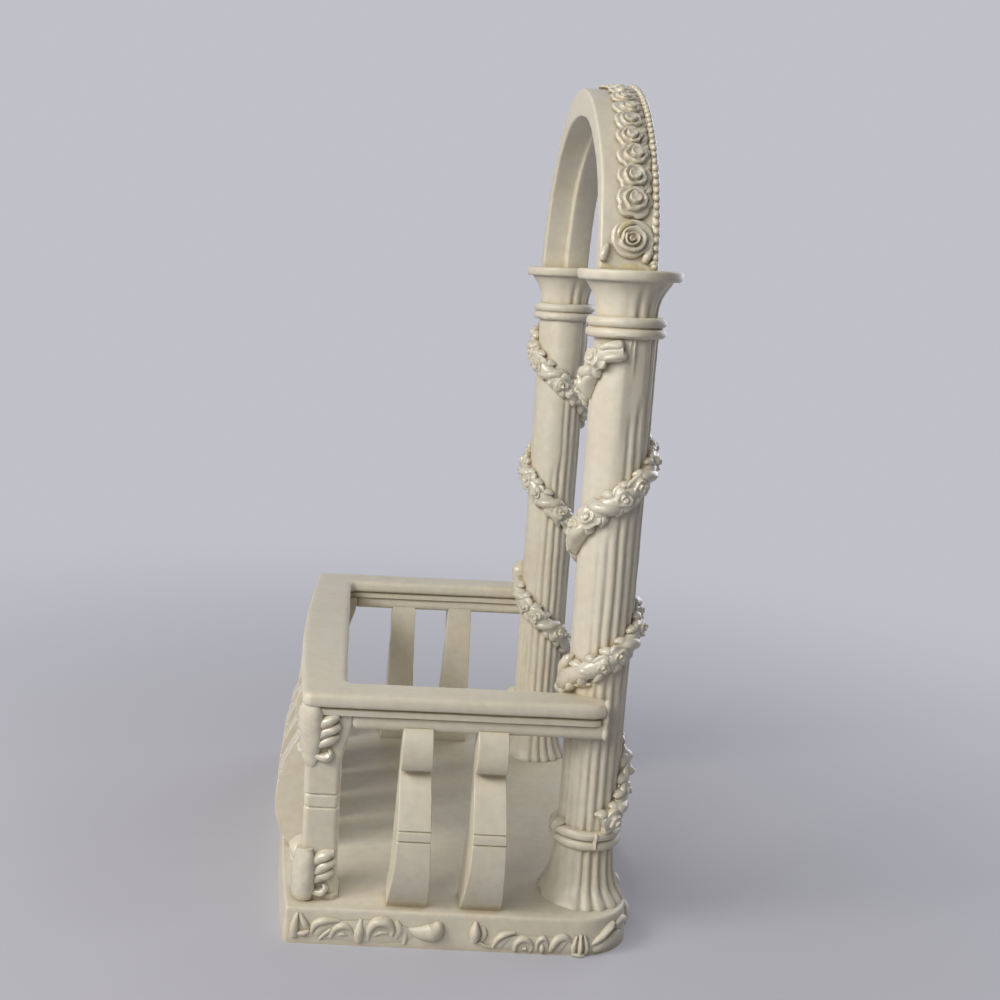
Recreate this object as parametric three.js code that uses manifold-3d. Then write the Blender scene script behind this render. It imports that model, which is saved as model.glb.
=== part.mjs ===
// Miniature arch: a cake-top arch of cast resin, 200 mm tall. A plinth with a bowed rear carries a
// balustrade and two fluted columns, and a round arch trimmed with roses stands on the columns.
// Millimetres, +Z up. The origin is the middle of the underside, the roses face -Y, left is -X.

import * as THREE from "three";
import { mergeVertices } from "three/addons/utils/BufferGeometryUtils.js";
import Module from "manifold-3d";

// Clearance between pieces that meet on a curved face.
const seatGap = 0.3;

// Plinth slab: its underside outline, the lean of its walls and the worn top edge.
const baseHeight = 8.6;
const baseHalfWidth = 60;
const baseFront = 44.9;
const baseRear = 36.6;
const baseBow = 3.8;
const baseCornerRadius = 13.8;
const baseRearCut = 1.2;
const baseDraft = 0.7;
const baseEdge = 0.6;

// Columns: how far the axes stand in from the plinth's side and front edges, and the stack of
// members, each height and radius by itself.
const columnInset = 15.7;
const columnSetback = 10.9;
const footHeight = 13.4;
const footRadius = 9.9;
const neckRadius = 7;
const lowerRingHeight = 4.6;
const lowerRingRadius = 8.4;
const shaftHeight = 114.2;
const shaftHeadRadius = 7.35;
const upperRingHeight = 4.7;
const upperRingRadius = 8.75;
const bellHeight = 7.7;
const bellNeckRadius = 6.9;
const bellLipRadius = 9.6;
const abacusHeight = 2.4;
const abacusRadius = 11.5;
const fluteDepth = 0.6;
const shaftFlutes = 20;
const bellFlutes = 16;

// Arch band: how far its outer face springs beyond the column axes, its rise, its section and its
// setback.
const archOverhang = 1.9;
const archRise = 42.4;
const archWidth = 12.9;
const archThickness = 4.6;
const archStep = 1.6;
const archRound = 0.5;
const archSetback = 0.8;

// Balustrade: how far the rail stands in from the plinth's side and rear, its moulding and the bar
// under it.
const railInset = 3.2;
const railRearInset = 2.55;
const railWidth = 9.6;
const rearRailWidth = 9.85;
const railBow = 2.1;
const railHeight = 5.3;
const railLip = 1.1;
const railFillet = 2;
const railCornerCut = 1.2;
const railTipBlunt = 0.5;
const underRailHeight = 2.6;
const underRailInset = 1.9;

// Corner posts and console balusters under the rail.
const balusterHeight = 42.7;
const postSize = 8.4;
const postSideInset = 2;
const postRearInset = 1;
const postEdge = 0.8;
const postFootHeight = 1.4;
const postMoulding = 0.5;
const balusterHeadWidth = 6.4;
const balusterFootWidth = 7.8;
const balusterDepth = 7.6;
const balusterSwell = 4.2;
const balusterEdge = 1;
const rearBalusterPitch = 16.4;
const rearBalusterLean = 1.4;

// Acanthus leaves folded over the posts' corners.
const leafHeight = 11.4;
const leafWidth = 6.2;
const leafThickness = 1.9;

// Garlands round the shafts.
const garlandHalfWidth = 2.6;
const garlandThickness = 2.4;
const garlandRosePitch = 4.4;

// Roses and beads on the arch.
const largeRoseRadius = 4.3;
const largeRoseLift = 2.3;
const roseRadius = 3.8;
const rosePitch = 6.1;
const roseHeight = 1.7;
const swagBacking = 0.7;
const beadRadius = 0.8;

// Counts and angles, which don't change with the size.
const sideBalusters = 2;
const rearBalusters = 4;
const pointsPerFlute = 3;
const latheSegments = 24;
const archSegments = 32;
const arcDivisions = 5;
const rosePetals = 5;
const halfTurn = Math.PI;
const fullTurn = Math.PI * 2;
const quarterTurn = Math.PI / 2;

// Heights and places that follow from the sizes above.
const columnReach = baseHalfWidth - columnInset;
const columnForward = baseFront - columnSetback;
const archHalfSpan = columnReach + archOverhang;
const railReach = baseHalfWidth - railInset;
const railRear = baseRear - railRearInset;
const ringZ = baseHeight + footHeight;
const shaftZ = ringZ + lowerRingHeight;
const upperRingZ = shaftZ + shaftHeight;
const bellZ = upperRingZ + upperRingHeight;
const abacusZ = bellZ + bellHeight;
const springZ = abacusZ + abacusHeight;
const underRailZ = baseHeight + balusterHeight;
const railZ = underRailZ + underRailHeight;
const railTopZ = railZ + railHeight;
const railInner = railReach - railWidth;
const rearRailInner = railRear - rearRailWidth;
const archRadius = (archHalfSpan ** 2 + archRise ** 2) / (2 * archRise);
const archCentreZ = springZ + archRise - archRadius;
const archCentreY = archSetback - columnForward;
const postX = railReach - postSideInset - postSize / 2;
const postY = railRear - postRearInset - postSize / 2;

const ivory = 0xe9dfc9;
const ivoryShade = 0xe2d6ba;

const wasm = await Module();
wasm.setup();

const arch = new THREE.Group();

// Adds one named sub-part with its own satin resin finish.
function addPiece(name, geometry, place = [0, 0, 0], color = ivory) {
  const material = new THREE.MeshStandardMaterial({ color, roughness: 0.42, metalness: 0 });
  const mesh = new THREE.Mesh(geometry, material);
  mesh.name = name;
  mesh.position.set(...place);
  arch.add(mesh);
  return mesh;
}

// Keeps only positions, merges shared vertices and drops triangles that closed up on an axis.
function closed(geometry) {
  geometry.deleteAttribute("normal");
  geometry.deleteAttribute("uv");
  const merged = mergeVertices(geometry);
  const index = merged.getIndex().array;
  const kept = [];
  for (let i = 0; i < index.length; i += 3) {
    const [a, b, c] = index.slice(i, i + 3);
    if (a !== b && b !== c && c !== a) kept.push(a, b, c);
  }
  merged.setIndex(kept);
  return merged;
}

// A closed solid skinned over rings with equal counts of points. The ends are filled over a flat
// outline, or over the first ring's own x and y. A panel is a face of its own within the last end.
function skin(rings, outline = rings[0], panel = []) {
  const count = rings[0].length;
  const positions = [...rings.flat(), ...panel].flatMap((point) => [point.x, point.y, point.z]);
  const index = [];
  for (let ring = 0; ring < rings.length - 1; ring += 1) {
    for (let i = 0; i < count; i += 1) {
      const low = ring * count + i;
      const lowNext = ring * count + ((i + 1) % count);
      index.push(low, lowNext, lowNext + count);
      index.push(low, lowNext + count, low + count);
    }
  }
  const flat = outline.map((point) => new THREE.Vector2(point.x, point.y));
  const last = (rings.length - 1) * count;
  const clockwise = THREE.ShapeUtils.isClockWise(flat);
  const facing = (face) => (clockwise ? face.toReversed() : face);
  const holes = panel.length > 0 ? [[...panel]] : [];
  for (const face of THREE.ShapeUtils.triangulateShape(flat, [])) {
    index.push(...facing(face).toReversed());
  }
  for (const face of THREE.ShapeUtils.triangulateShape(flat, holes)) {
    index.push(...facing(face).map((corner) => last + corner));
  }
  for (const face of THREE.ShapeUtils.triangulateShape([...panel], [])) {
    index.push(...facing(face).map((corner) => last + count + corner));
  }
  const geometry = new THREE.BufferGeometry();
  geometry.setAttribute("position", new THREE.Float32BufferAttribute(positions, 3));
  geometry.setIndex(index);
  const solid = closed(geometry);
  return volume(solid) < 0 ? insideOut(solid) : solid;
}

// Volume that a closed surface holds, below zero where its faces point inwards.
function volume(geometry) {
  const position = geometry.getAttribute("position");
  const corners = [new THREE.Vector3(), new THREE.Vector3(), new THREE.Vector3()];
  const index = geometry.getIndex().array;
  let sum = 0;
  for (let i = 0; i < index.length; i += 3) {
    corners.forEach((corner, k) => corner.fromBufferAttribute(position, index[i + k]));
    sum += corners[0].dot(corners[1].clone().cross(corners[2])) / 6;
  }
  return sum;
}

// The same surface with its faces turned round.
function insideOut(geometry) {
  const index = geometry.getIndex().array;
  const facing = [];
  for (let i = 0; i < index.length; i += 3) facing.push(index[i], index[i + 2], index[i + 1]);
  return geometry.clone().setIndex(facing);
}

// The same solid on the other side of the middle plane.
function mirrored(geometry) {
  return insideOut(geometry.clone().scale(-1, 1, 1));
}

// Points of a flat outline at one height.
function raised(outline, z) {
  return outline.map((point) => new THREE.Vector3(point.x, point.y, z));
}

// Turns a profile of radius and height about the upright axis.
function turned(profile) {
  const points = profile.map(([radius, height]) => new THREE.Vector2(radius, height));
  const geometry = new THREE.LatheGeometry(points, latheSegments);
  return closed(geometry.rotateX(quarterTurn));
}

// Changes between geometry and solids for the joins.
function toSolid(geometry) {
  const vertProperties = new Float32Array(geometry.getAttribute("position").array);
  const triVerts = new Uint32Array(geometry.getIndex().array);
  return new wasm.Manifold(new wasm.Mesh({ numProp: 3, vertProperties, triVerts }));
}
function toGeometry(solid) {
  const mesh = solid.getMesh();
  const geometry = new THREE.BufferGeometry();
  geometry.setAttribute("position", new THREE.BufferAttribute(new Float32Array(mesh.vertProperties), 3));
  geometry.setIndex(Array.from(mesh.triVerts));
  return geometry;
}

// Centre and radius of the arc that bows out between two corners of equal reach.
function bowArc(halfChord, chordY, bow) {
  const radius = (halfChord ** 2 + bow ** 2) / (2 * bow);
  return { radius, centreY: chordY + bow - radius };
}

// Plinth outline, drawn in by an inset: rounded front corners and a bowed rear.
function baseOutline(inset) {
  const side = baseHalfWidth - inset;
  const front = inset - baseFront;
  const centreX = baseHalfWidth - baseCornerRadius;
  const centreY = baseCornerRadius - baseFront;
  const round = baseCornerRadius - inset;
  const bow = bowArc(baseHalfWidth, baseRear, baseBow);
  const rearX = side - baseRearCut;
  const rearRadius = bow.radius - inset;
  const swing = Math.asin(rearX / rearRadius);
  const rearCornerY = bow.centreY + rearRadius * Math.cos(swing);
  const path = new THREE.Path();
  path.moveTo(-centreX, front);
  path.lineTo(centreX, front);
  path.absarc(centreX, centreY, round, -quarterTurn, 0, false);
  path.lineTo(side, rearCornerY - baseRearCut);
  path.lineTo(rearX, rearCornerY);
  path.absarc(0, bow.centreY, rearRadius, quarterTurn - swing, quarterTurn + swing, false);
  path.lineTo(-side, rearCornerY - baseRearCut);
  path.lineTo(-side, centreY);
  path.absarc(-centreX, centreY, round, halfTurn, halfTurn + quarterTurn, false);
  return withoutRepeats(path.getPoints(arcDivisions));
}

// Drops a point that falls on the one before it, also where the outline closes.
function withoutRepeats(points) {
  const tiny = railTipBlunt / 100;
  return points.filter((point, i) => {
    const before = points[(i + points.length - 1) % points.length];
    return point.distanceTo(before) > tiny;
  });
}

// Floor between the balustrades and the columns, where small figures stand, clear of every foot.
function floorPanel() {
  const reachX = postX - postSize / 2 - postMoulding - seatGap;
  const rearY = postY - postSize / 2 - postMoulding - seatGap;
  const frontY = footRadius + seatGap - columnForward;
  const corners = [[-reachX, frontY], [reachX, frontY], [reachX, rearY], [-reachX, rearY]];
  return raised(corners.map(([x, y]) => new THREE.Vector2(x, y)), baseHeight);
}

// Plinth slab, with leaning walls and a worn top edge. The figures' floor is a face of its own.
function makeBase() {
  const wallTop = baseHeight - baseEdge;
  const levels = [
    raised(baseOutline(0), 0),
    raised(baseOutline(baseDraft), wallTop),
    raised(baseOutline(baseDraft + baseEdge), baseHeight),
  ];
  return skin(levels, levels[0], floorPanel());
}

// Ring of points round a column axis. Each flute is hollowed by the share that its bearing has.
function flutedRing(radius, height, flutes, strength) {
  const steps = flutes * pointsPerFlute;
  const points = [];
  for (let i = 0; i < steps; i += 1) {
    const bearing = (i / steps) * fullTurn;
    const acrossShare = (i % pointsPerFlute) / pointsPerFlute;
    const hollow = fluteDepth * strength(bearing) * Math.sin(acrossShare * halfTurn);
    const reach = radius - hollow;
    points.push(new THREE.Vector3(reach * Math.cos(bearing), reach * Math.sin(bearing), height));
  }
  return points;
}

// Foot of a column: fluted all round and spread towards the plinth.
function makeFoot() {
  const spreadShares = [[0, 1], [0.2, 0.7], [0.55, 0.26], [1, 0]];
  const spread = footRadius - neckRadius;
  return skin(spreadShares.map(([heightShare, outShare]) => (
    flutedRing(neckRadius + spread * outShare, footHeight * heightShare, shaftFlutes, () => 1)
  )));
}

// Collar of two half-round beads, one over the other.
function makeCollar(height, radius, innerRadius) {
  const beadShares = [[0.2, 0], [0.85, 0.12], [0.9, 0.36], [0.35, 0.5]];
  const bulge = radius - innerRadius;
  const lower = beadShares.map(([outShare, upShare]) => [innerRadius + bulge * outShare, height * upShare]);
  const upper = beadShares.slice(0, -1).reverse();
  const top = upper.map(([outShare, upShare]) => [innerRadius + bulge * outShare, height * (1 - upShare)]);
  return turned([[0, 0], ...lower, ...top, [0, height]]);
}

// Share of the full flute depth on the shaft. The mould leaves the rear half smooth, but for the
// lowest part, where the flutes run all round.
function shaftFluteShare(bearing, heightShare) {
  const forwardShare = (1 - Math.sin(bearing)) / 2;
  const frontShare = THREE.MathUtils.smoothstep(forwardShare, 0.28, 0.62);
  const lowShare = 1 - THREE.MathUtils.smoothstep(heightShare, 0.14, 0.3);
  return Math.max(frontShare, lowShare);
}

// Shaft, a little wider at its head.
function makeShaft() {
  const levelShares = [0, 0.14, 0.3, 1];
  return skin(levelShares.map((heightShare) => flutedRing(
    shaftRadius(heightShare),
    shaftHeight * heightShare,
    shaftFlutes,
    (bearing) => shaftFluteShare(bearing, heightShare),
  )));
}
function shaftRadius(heightShare) {
  return neckRadius + (shaftHeadRadius - neckRadius) * heightShare;
}

// Bell of the capital, flaring to the abacus.
function makeBell() {
  const flareShares = [[0, 0], [0.35, 0.1], [0.62, 0.32], [0.85, 0.7], [1, 1]];
  const flare = bellLipRadius - bellNeckRadius;
  return skin(flareShares.map(([heightShare, outShare]) => (
    flutedRing(bellNeckRadius + flare * outShare, bellHeight * heightShare, bellFlutes, () => 1 - outShare / 2)
  )));
}

// Abacus: a round plate with a rolled edge.
function makeAbacus() {
  const edgeShares = [[0.93, 0], [0.985, 0.15], [1, 0.45], [0.99, 0.8], [0.95, 1]];
  const edge = edgeShares.map(([outShare, upShare]) => [abacusRadius * outShare, abacusHeight * upShare]);
  return turned([[0, 0], ...edge, [0, abacusHeight]]);
}

// Both columns, member on member.
function addColumns() {
  const members = [
    ["column_foot", makeFoot(), baseHeight],
    ["lower_collar", makeCollar(lowerRingHeight, lowerRingRadius, neckRadius), ringZ],
    ["column_shaft", makeShaft(), shaftZ],
    ["upper_collar", makeCollar(upperRingHeight, upperRingRadius, shaftHeadRadius), upperRingZ],
    ["capital_bell", makeBell(), bellZ],
    ["abacus", makeAbacus(), abacusZ],
  ];
  for (const [name, geometry, z] of members) {
    addPiece(`${name}_left`, mirrored(geometry), [-columnReach, -columnForward, z]);
    addPiece(`${name}_right`, geometry, [columnReach, -columnForward, z]);
  }
}

// Point at a radius and an angle on the arch, at a place across its width.
function archPoint(radius, angle, y) {
  return new THREE.Vector3(radius * Math.cos(angle), y, archCentreZ + radius * Math.sin(angle));
}

// Arch band: an L-shaped section, thicker along the front, swept over the round of the arch.
function makeArchBand() {
  const outer = archRadius;
  const thin = archRadius - archThickness;
  const thick = thin - archStep;
  const half = archWidth / 2;
  const round = archRound;
  const section = [
    [outer, round - half],
    [outer, half - round],
    [outer - round, half],
    [thin + round, half],
    [thin, half - round],
    [thin, round],
    [thin - round, 0],
    [thick + round, 0],
    [thick, -round],
    [thick, round - half],
    [thick + round, -half],
    [outer - round, -half],
  ];
  const outline = section.map(([radius, across]) => new THREE.Vector2(across, radius));
  const rings = [];
  for (let step = 0; step <= archSegments; step += 1) {
    rings.push(section.map(([radius, across]) => {
      const start = Math.asin((springZ - archCentreZ) / radius);
      const angle = start + (halfTurn - 2 * start) * (step / archSegments);
      return archPoint(radius, angle, archCentreY + across);
    }));
  }
  return skin(rings, outline);
}

// Outline of a side rail on the right, drawn in by an inset. Its front end is rounded outside and
// hollowed inside to lie against the shaft.
function sideRailOutline(inset, rearEnd) {
  const outerX = railReach - inset;
  const innerX = railInner + inset;
  const seatRadius = shaftHeadRadius + seatGap;
  const seatStart = Math.acos((innerX - columnReach) / seatRadius);
  const seatEnd = Math.asin((inset + railTipBlunt) / seatRadius);
  const tipX = columnReach + seatRadius;
  const tipRound = railReach - tipX;
  const path = new THREE.Path();
  path.moveTo(outerX, rearEnd);
  path.lineTo(innerX, rearEnd);
  path.absarc(columnReach, -columnForward, seatRadius, seatStart, seatEnd, true);
  path.absarc(tipX, tipRound - columnForward, tipRound - inset, -quarterTurn, 0, false);
  return withoutRepeats(path.getPoints(arcDivisions));
}

// Outline of the rear rail, drawn in by an inset: bowed outside, straight inside, with a short leg
// and a fillet at each end where a side rail butts on.
function rearRailOutline(inset) {
  const outerX = railReach - inset;
  const innerX = railInner + inset;
  const legY = rearRailInner - railFillet;
  const bow = bowArc(railReach, railRear, railBow);
  const rearX = outerX - railCornerCut;
  const rearRadius = bow.radius - inset;
  const swing = Math.asin(rearX / rearRadius);
  const cornerY = bow.centreY + rearRadius * Math.cos(swing);
  const filletX = railInner - railFillet;
  const path = new THREE.Path();
  path.moveTo(innerX, legY);
  path.lineTo(outerX, legY);
  path.lineTo(outerX, cornerY - railCornerCut);
  path.absarc(0, bow.centreY, rearRadius, quarterTurn - swing, quarterTurn + swing, false);
  path.lineTo(-outerX, cornerY - railCornerCut);
  path.lineTo(-outerX, legY);
  path.absarc(-filletX, legY, railFillet + inset, halfTurn, quarterTurn, true);
  path.absarc(filletX, legY, railFillet + inset, quarterTurn, 0, true);
  return withoutRepeats(path.getPoints(arcDivisions));
}

// Outline of the bar under the rear rail, between the posts.
function rearUnderOutline(inset) {
  const bow = bowArc(railReach, railRear, railBow);
  const endX = postX - postSize / 2;
  const rearRadius = bow.radius - inset;
  const swing = Math.asin(endX / rearRadius);
  const path = new THREE.Path();
  path.moveTo(-endX, rearRailInner + inset);
  path.lineTo(endX, rearRailInner + inset);
  path.absarc(0, bow.centreY, rearRadius, quarterTurn - swing, quarterTurn + swing, false);
  return withoutRepeats(path.getPoints(arcDivisions));
}

// Handrail moulding: a thick slab with rounded edges over a groove and a narrower bed.
function makeRail(outlineAt) {
  const mouldingShares = [
    [0, 1], [0.3, 1], [0.34, 1.5], [0.38, 1.5], [0.38, 0.3], [0.48, 0], [0.8, 0], [0.94, 0.4], [1, 1],
  ];
  return skin(mouldingShares.map(([upShare, inShare]) => (
    raised(outlineAt(railLip * inShare), railHeight * upShare)
  )));
}
function makeUnderRail(outlineAt) {
  const mouldingShares = [[0, 1.3], [0.3, 1], [1, 1]];
  return skin(mouldingShares.map(([upShare, inShare]) => (
    raised(outlineAt(underRailInset * inShare), underRailHeight * upShare)
  )));
}

function addRails() {
  const side = makeRail((inset) => sideRailOutline(inset, rearRailInner - railFillet));
  const under = makeUnderRail((inset) => sideRailOutline(inset, postY - postSize / 2));
  addPiece("rear_rail", makeRail(rearRailOutline), [0, 0, railZ]);
  addPiece("side_rail_left", mirrored(side), [0, 0, railZ]);
  addPiece("side_rail_right", side, [0, 0, railZ]);
  addPiece("rear_under_rail", makeUnderRail(rearUnderOutline), [0, 0, underRailZ]);
  addPiece("side_under_rail_left", mirrored(under), [0, 0, underRailZ]);
  addPiece("side_under_rail_right", under, [0, 0, underRailZ]);
}

// Rectangle with cut corners, reaching from one x to another over a width along y.
function cutRectangle(fromX, toX, halfWidth, cut) {
  return [
    new THREE.Vector2(fromX + cut, -halfWidth),
    new THREE.Vector2(toX - cut, -halfWidth),
    new THREE.Vector2(toX, cut - halfWidth),
    new THREE.Vector2(toX, halfWidth - cut),
    new THREE.Vector2(toX - cut, halfWidth),
    new THREE.Vector2(fromX + cut, halfWidth),
    new THREE.Vector2(fromX, halfWidth - cut),
    new THREE.Vector2(fromX, cut - halfWidth),
  ];
}

// Corner post: square with eased edges, a low foot and a sunk band between two lines half way up.
function makePost() {
  const postHeight = balusterHeight + underRailHeight;
  const footShares = [[0, 1], [0.7, 1], [1, 0]];
  const bandShares = [
    [0.485, 0], [0.495, -0.8], [0.505, -0.2], [0.555, -0.2], [0.565, -0.8], [0.575, 0], [1, 0],
  ];
  const levels = [
    ...footShares.map(([upShare, outShare]) => [postFootHeight * upShare, outShare]),
    ...bandShares.map(([upShare, outShare]) => [postHeight * upShare, outShare]),
  ];
  return skin(levels.map(([height, outShare]) => {
    const half = postSize / 2 + postMoulding * outShare;
    return raised(cutRectangle(-half, half, half, postEdge), height);
  }));
}

// Console baluster, facing +X: a roll under the rail, an undercut, and a body that swells out with
// two lines across it. Zero is the outer face of the rail.
function makeBaluster(lean) {
  const consoleShares = [
    [0, 0], [0.12, 0.65], [0.27, 1], [0.375, 0.99], [0.385, 0.88], [0.4, 0.97], [0.445, 0.92],
    [0.455, 0.8], [0.47, 0.86], [0.6, 0.38], [0.72, -0.28], [0.785, -0.78], [0.81, -0.74],
    [0.825, -0.25], [0.86, 0.05], [0.93, 0.1], [1, -0.35],
  ];
  return skin(consoleShares.map(([upShare, outShare]) => {
    const half = THREE.MathUtils.lerp(balusterFootWidth, balusterHeadWidth, upShare) / 2;
    const outX = balusterSwell * outShare + lean * (1 - upShare);
    return raised(cutRectangle(-balusterDepth, outX, half, balusterEdge), balusterHeight * upShare);
  }));
}

function addSupports() {
  const post = makePost();
  addPiece("rear_post_left", post, [-postX, postY, baseHeight]);
  addPiece("rear_post_right", post.clone(), [postX, postY, baseHeight]);
  const rearEnd = postY - postSize / 2;
  const frontEnd = shaftHeadRadius - columnForward;
  for (let i = 1; i <= sideBalusters; i += 1) {
    const y = rearEnd + (frontEnd - rearEnd) * (i / (sideBalusters + 1));
    const left = addPiece(`side_baluster_left_${i}`, makeBaluster(0), [-railReach, y, baseHeight]);
    left.rotation.z = halfTurn;
    addPiece(`side_baluster_right_${i}`, makeBaluster(0), [railReach, y, baseHeight]);
  }
  const bow = bowArc(railReach, railRear, railBow);
  for (let i = 0; i < rearBalusters; i += 1) {
    const x = rearBalusterPitch * (i - (rearBalusters - 1) / 2);
    const y = bow.centreY + Math.sqrt(bow.radius ** 2 - x ** 2);
    const baluster = addPiece(`rear_baluster_${i + 1}`, makeBaluster(rearBalusterLean), [x, y, baseHeight]);
    baluster.rotation.z = quarterTurn;
  }
}

// Half of an acanthus leaf folded over a post's corner, upright and facing -Y: three lobes beside
// the rib and a pointed tip, domed from a thin edge. The rib's foot is at the origin, and the half
// on the side face laps round the corner.
function makeHalfLeaf(lap) {
  const lobeShares = [
    [0.5, 0], [0.54, 0.12], [0.78, 0.24], [0.72, 0.38], [0.5, 0.42],
    [0.7, 0.54], [0.56, 0.68], [0.32, 0.72], [0.34, 0.84], [0.1, 1],
  ];
  const lobes = lobeShares.map(([outShare, upShare]) => new THREE.Vector2(leafWidth * outShare, upShare));
  const outline = [...lobes, new THREE.Vector2(-lap, 1), new THREE.Vector2(-lap, 0)];
  const domeShares = [[1, 0], [1, 0.45], [0.62, 1]];
  return skin(domeShares.map(([spreadShare, raiseShare]) => outline.map((point) => {
    const up = THREE.MathUtils.lerp(0.45, point.y, spreadShare);
    return new THREE.Vector3(point.x * spreadShare, -leafThickness * raiseShare, leafHeight * up);
  })), outline);
}

// Leaves folded over the outer rear corner of both posts, one on the foot and one under the rail.
function addLeaves() {
  const standOff = postSize / 2 + seatGap;
  const cornerY = postY + postSize / 2;
  const lowZ = baseHeight + postFootHeight + seatGap;
  const highZ = railZ - seatGap - leafHeight;
  const sideHalf = makeHalfLeaf(seatGap + leafThickness);
  const rearHalf = makeHalfLeaf(0).rotateZ(halfTurn);
  for (const [name, side] of [["left", -1], ["right", 1]]) {
    const handed = (geometry) => (side < 0 ? mirrored(geometry) : geometry.clone());
    const sidePlace = [side * (postX + standOff), cornerY];
    const rearPlace = [side * (postX + postSize / 2), postY + standOff];
    for (const [level, z] of [["low", lowZ], ["high", highZ]]) {
      const sideLeaf = handed(mirrored(sideHalf).rotateZ(quarterTurn));
      addPiece(`side_leaf_${level}_${name}`, sideLeaf, [...sidePlace, z]);
      addPiece(`rear_leaf_${level}_${name}`, handed(rearHalf), [...rearPlace, z]);
    }
  }
}

// Height of the garland on the right shaft, by turns from its start on the outer side. It rests on
// the handrail, and it ends just over the lower collar.
function garlandRoute() {
  const onRail = railTopZ + garlandHalfWidth + seatGap;
  const landingTurns = 2.02;
  const restTurns = 2.2;
  const endTurns = 3.05;
  const highShares = [[0.25, 0.914], [0.75, 0.765], [1.25, 0.608], [1.75, 0.437]];
  const lowShares = [[2.75, 0.11]];
  const onShaft = ([turns, heightShare]) => [turns, shaftZ + shaftHeight * heightShare];
  const points = [
    [0, upperRingZ - garlandHalfWidth],
    ...highShares.map(onShaft),
    [landingTurns, onRail + garlandHalfWidth * 2],
    [restTurns, onRail],
    ...lowShares.map(onShaft),
    [endTurns, shaftZ + garlandHalfWidth + seatGap],
  ];
  return points.map(([turns, z]) => new THREE.Vector3(turns, z, 0));
}

// Garland: a tight row of small roses laid round the shaft, flat where it touches.
function makeGarland() {
  const sectionShares = [[0, -0.8], [0, 0.8], [0.6, 1], [1, 0], [0.6, -1]];
  const route = new THREE.CatmullRomCurve3(garlandRoute(), false, "centripetal");
  const turns = route.points.at(-1).x;
  const seat = shaftHeadRadius + seatGap;
  const length = Math.hypot(turns * fullTurn * (seat + garlandThickness / 2), shaftHeight);
  const roses = Math.round(length / garlandRosePitch);
  const steps = roses * 2;
  const rings = [];
  for (let step = 0; step <= steps; step += 1) {
    const on = route.getPoint(step / steps);
    const ahead = route.getTangent(step / steps);
    const angle = on.x * fullTurn;
    const slope = Math.atan2(ahead.y, ahead.x * fullTurn * seat);
    const swellShare = step % 2 === 0 ? 0.72 : 1;
    rings.push(sectionShares.map(([outShare, acrossShare]) => {
      const across = garlandHalfWidth * acrossShare * swellShare;
      const round = angle - (across * Math.sin(slope)) / seat;
      const radius = seat + garlandThickness * outShare * swellShare;
      return new THREE.Vector3(
        radius * Math.cos(round),
        radius * Math.sin(round),
        on.y + across * Math.cos(slope),
      );
    }));
  }
  const outline = sectionShares.map(([outShare, acrossShare]) => new THREE.Vector2(outShare, acrossShare));
  return skin(rings, outline);
}

function addGarlands() {
  const garland = makeGarland();
  addPiece("garland_left", mirrored(garland), [-columnReach, -columnForward, 0], ivoryShade);
  addPiece("garland_right", garland, [columnReach, -columnForward, 0], ivoryShade);
}

// Rose on a flat foot: an outer round of petals, an inner round set between them, and a bud.
function makeRose(radius) {
  const roundShares = [
    [0.95, 0, 0], [1, 0.4, 0], [0.74, 0.8, 0], [0.56, 0.62, 1], [0.3, 1, 1],
  ];
  const count = rosePetals * 2;
  return skin(roundShares.map(([outShare, upShare, between]) => {
    const ring = [];
    for (let i = 0; i < count; i += 1) {
      const angle = (i / count) * fullTurn;
      const petalShare = (i + between) % 2 === 0 ? 1 : 0.84;
      const reach = radius * outShare * petalShare;
      ring.push(new THREE.Vector3(reach * Math.cos(angle), reach * Math.sin(angle), roseHeight * upShare));
    }
    return ring;
  }));
}

// Middle of a rose across the arch: its petals end just behind the bead edging.
function roseRowY(radius) {
  return archCentreY - archWidth / 2 + 2 * beadRadius + seatGap + radius;
}

// Stands a rose on the outer face of the arch at an angle from the right-hand spring.
function roseOnArch(radius, angle) {
  const rose = makeRose(radius);
  rose.rotateY(quarterTurn - angle);
  const place = archPoint(archRadius + seatGap, angle, roseRowY(radius));
  return rose.translate(place.x, place.y, place.z);
}

// Thin leafy backing that joins the roses of one side, bent over the arch.
function makeBacking(fromAngle, toAngle) {
  const inner = archRadius + seatGap;
  const outer = inner + swagBacking;
  const halfWidth = roseRadius * 0.8;
  const centre = roseRowY(roseRadius);
  const rings = [];
  const steps = Math.ceil(((toAngle - fromAngle) * inner) / rosePitch);
  for (let step = 0; step <= steps; step += 1) {
    const angle = fromAngle + (toAngle - fromAngle) * (step / steps);
    rings.push([
      archPoint(inner, angle, centre - halfWidth),
      archPoint(outer, angle, centre - halfWidth),
      archPoint(outer, angle, centre + halfWidth),
      archPoint(inner, angle, centre + halfWidth),
    ]);
  }
  const outlineShares = [[0, 0], [1, 0], [1, 1], [0, 1]];
  return skin(rings, outlineShares.map(([x, y]) => new THREE.Vector2(x, y)));
}

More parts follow.
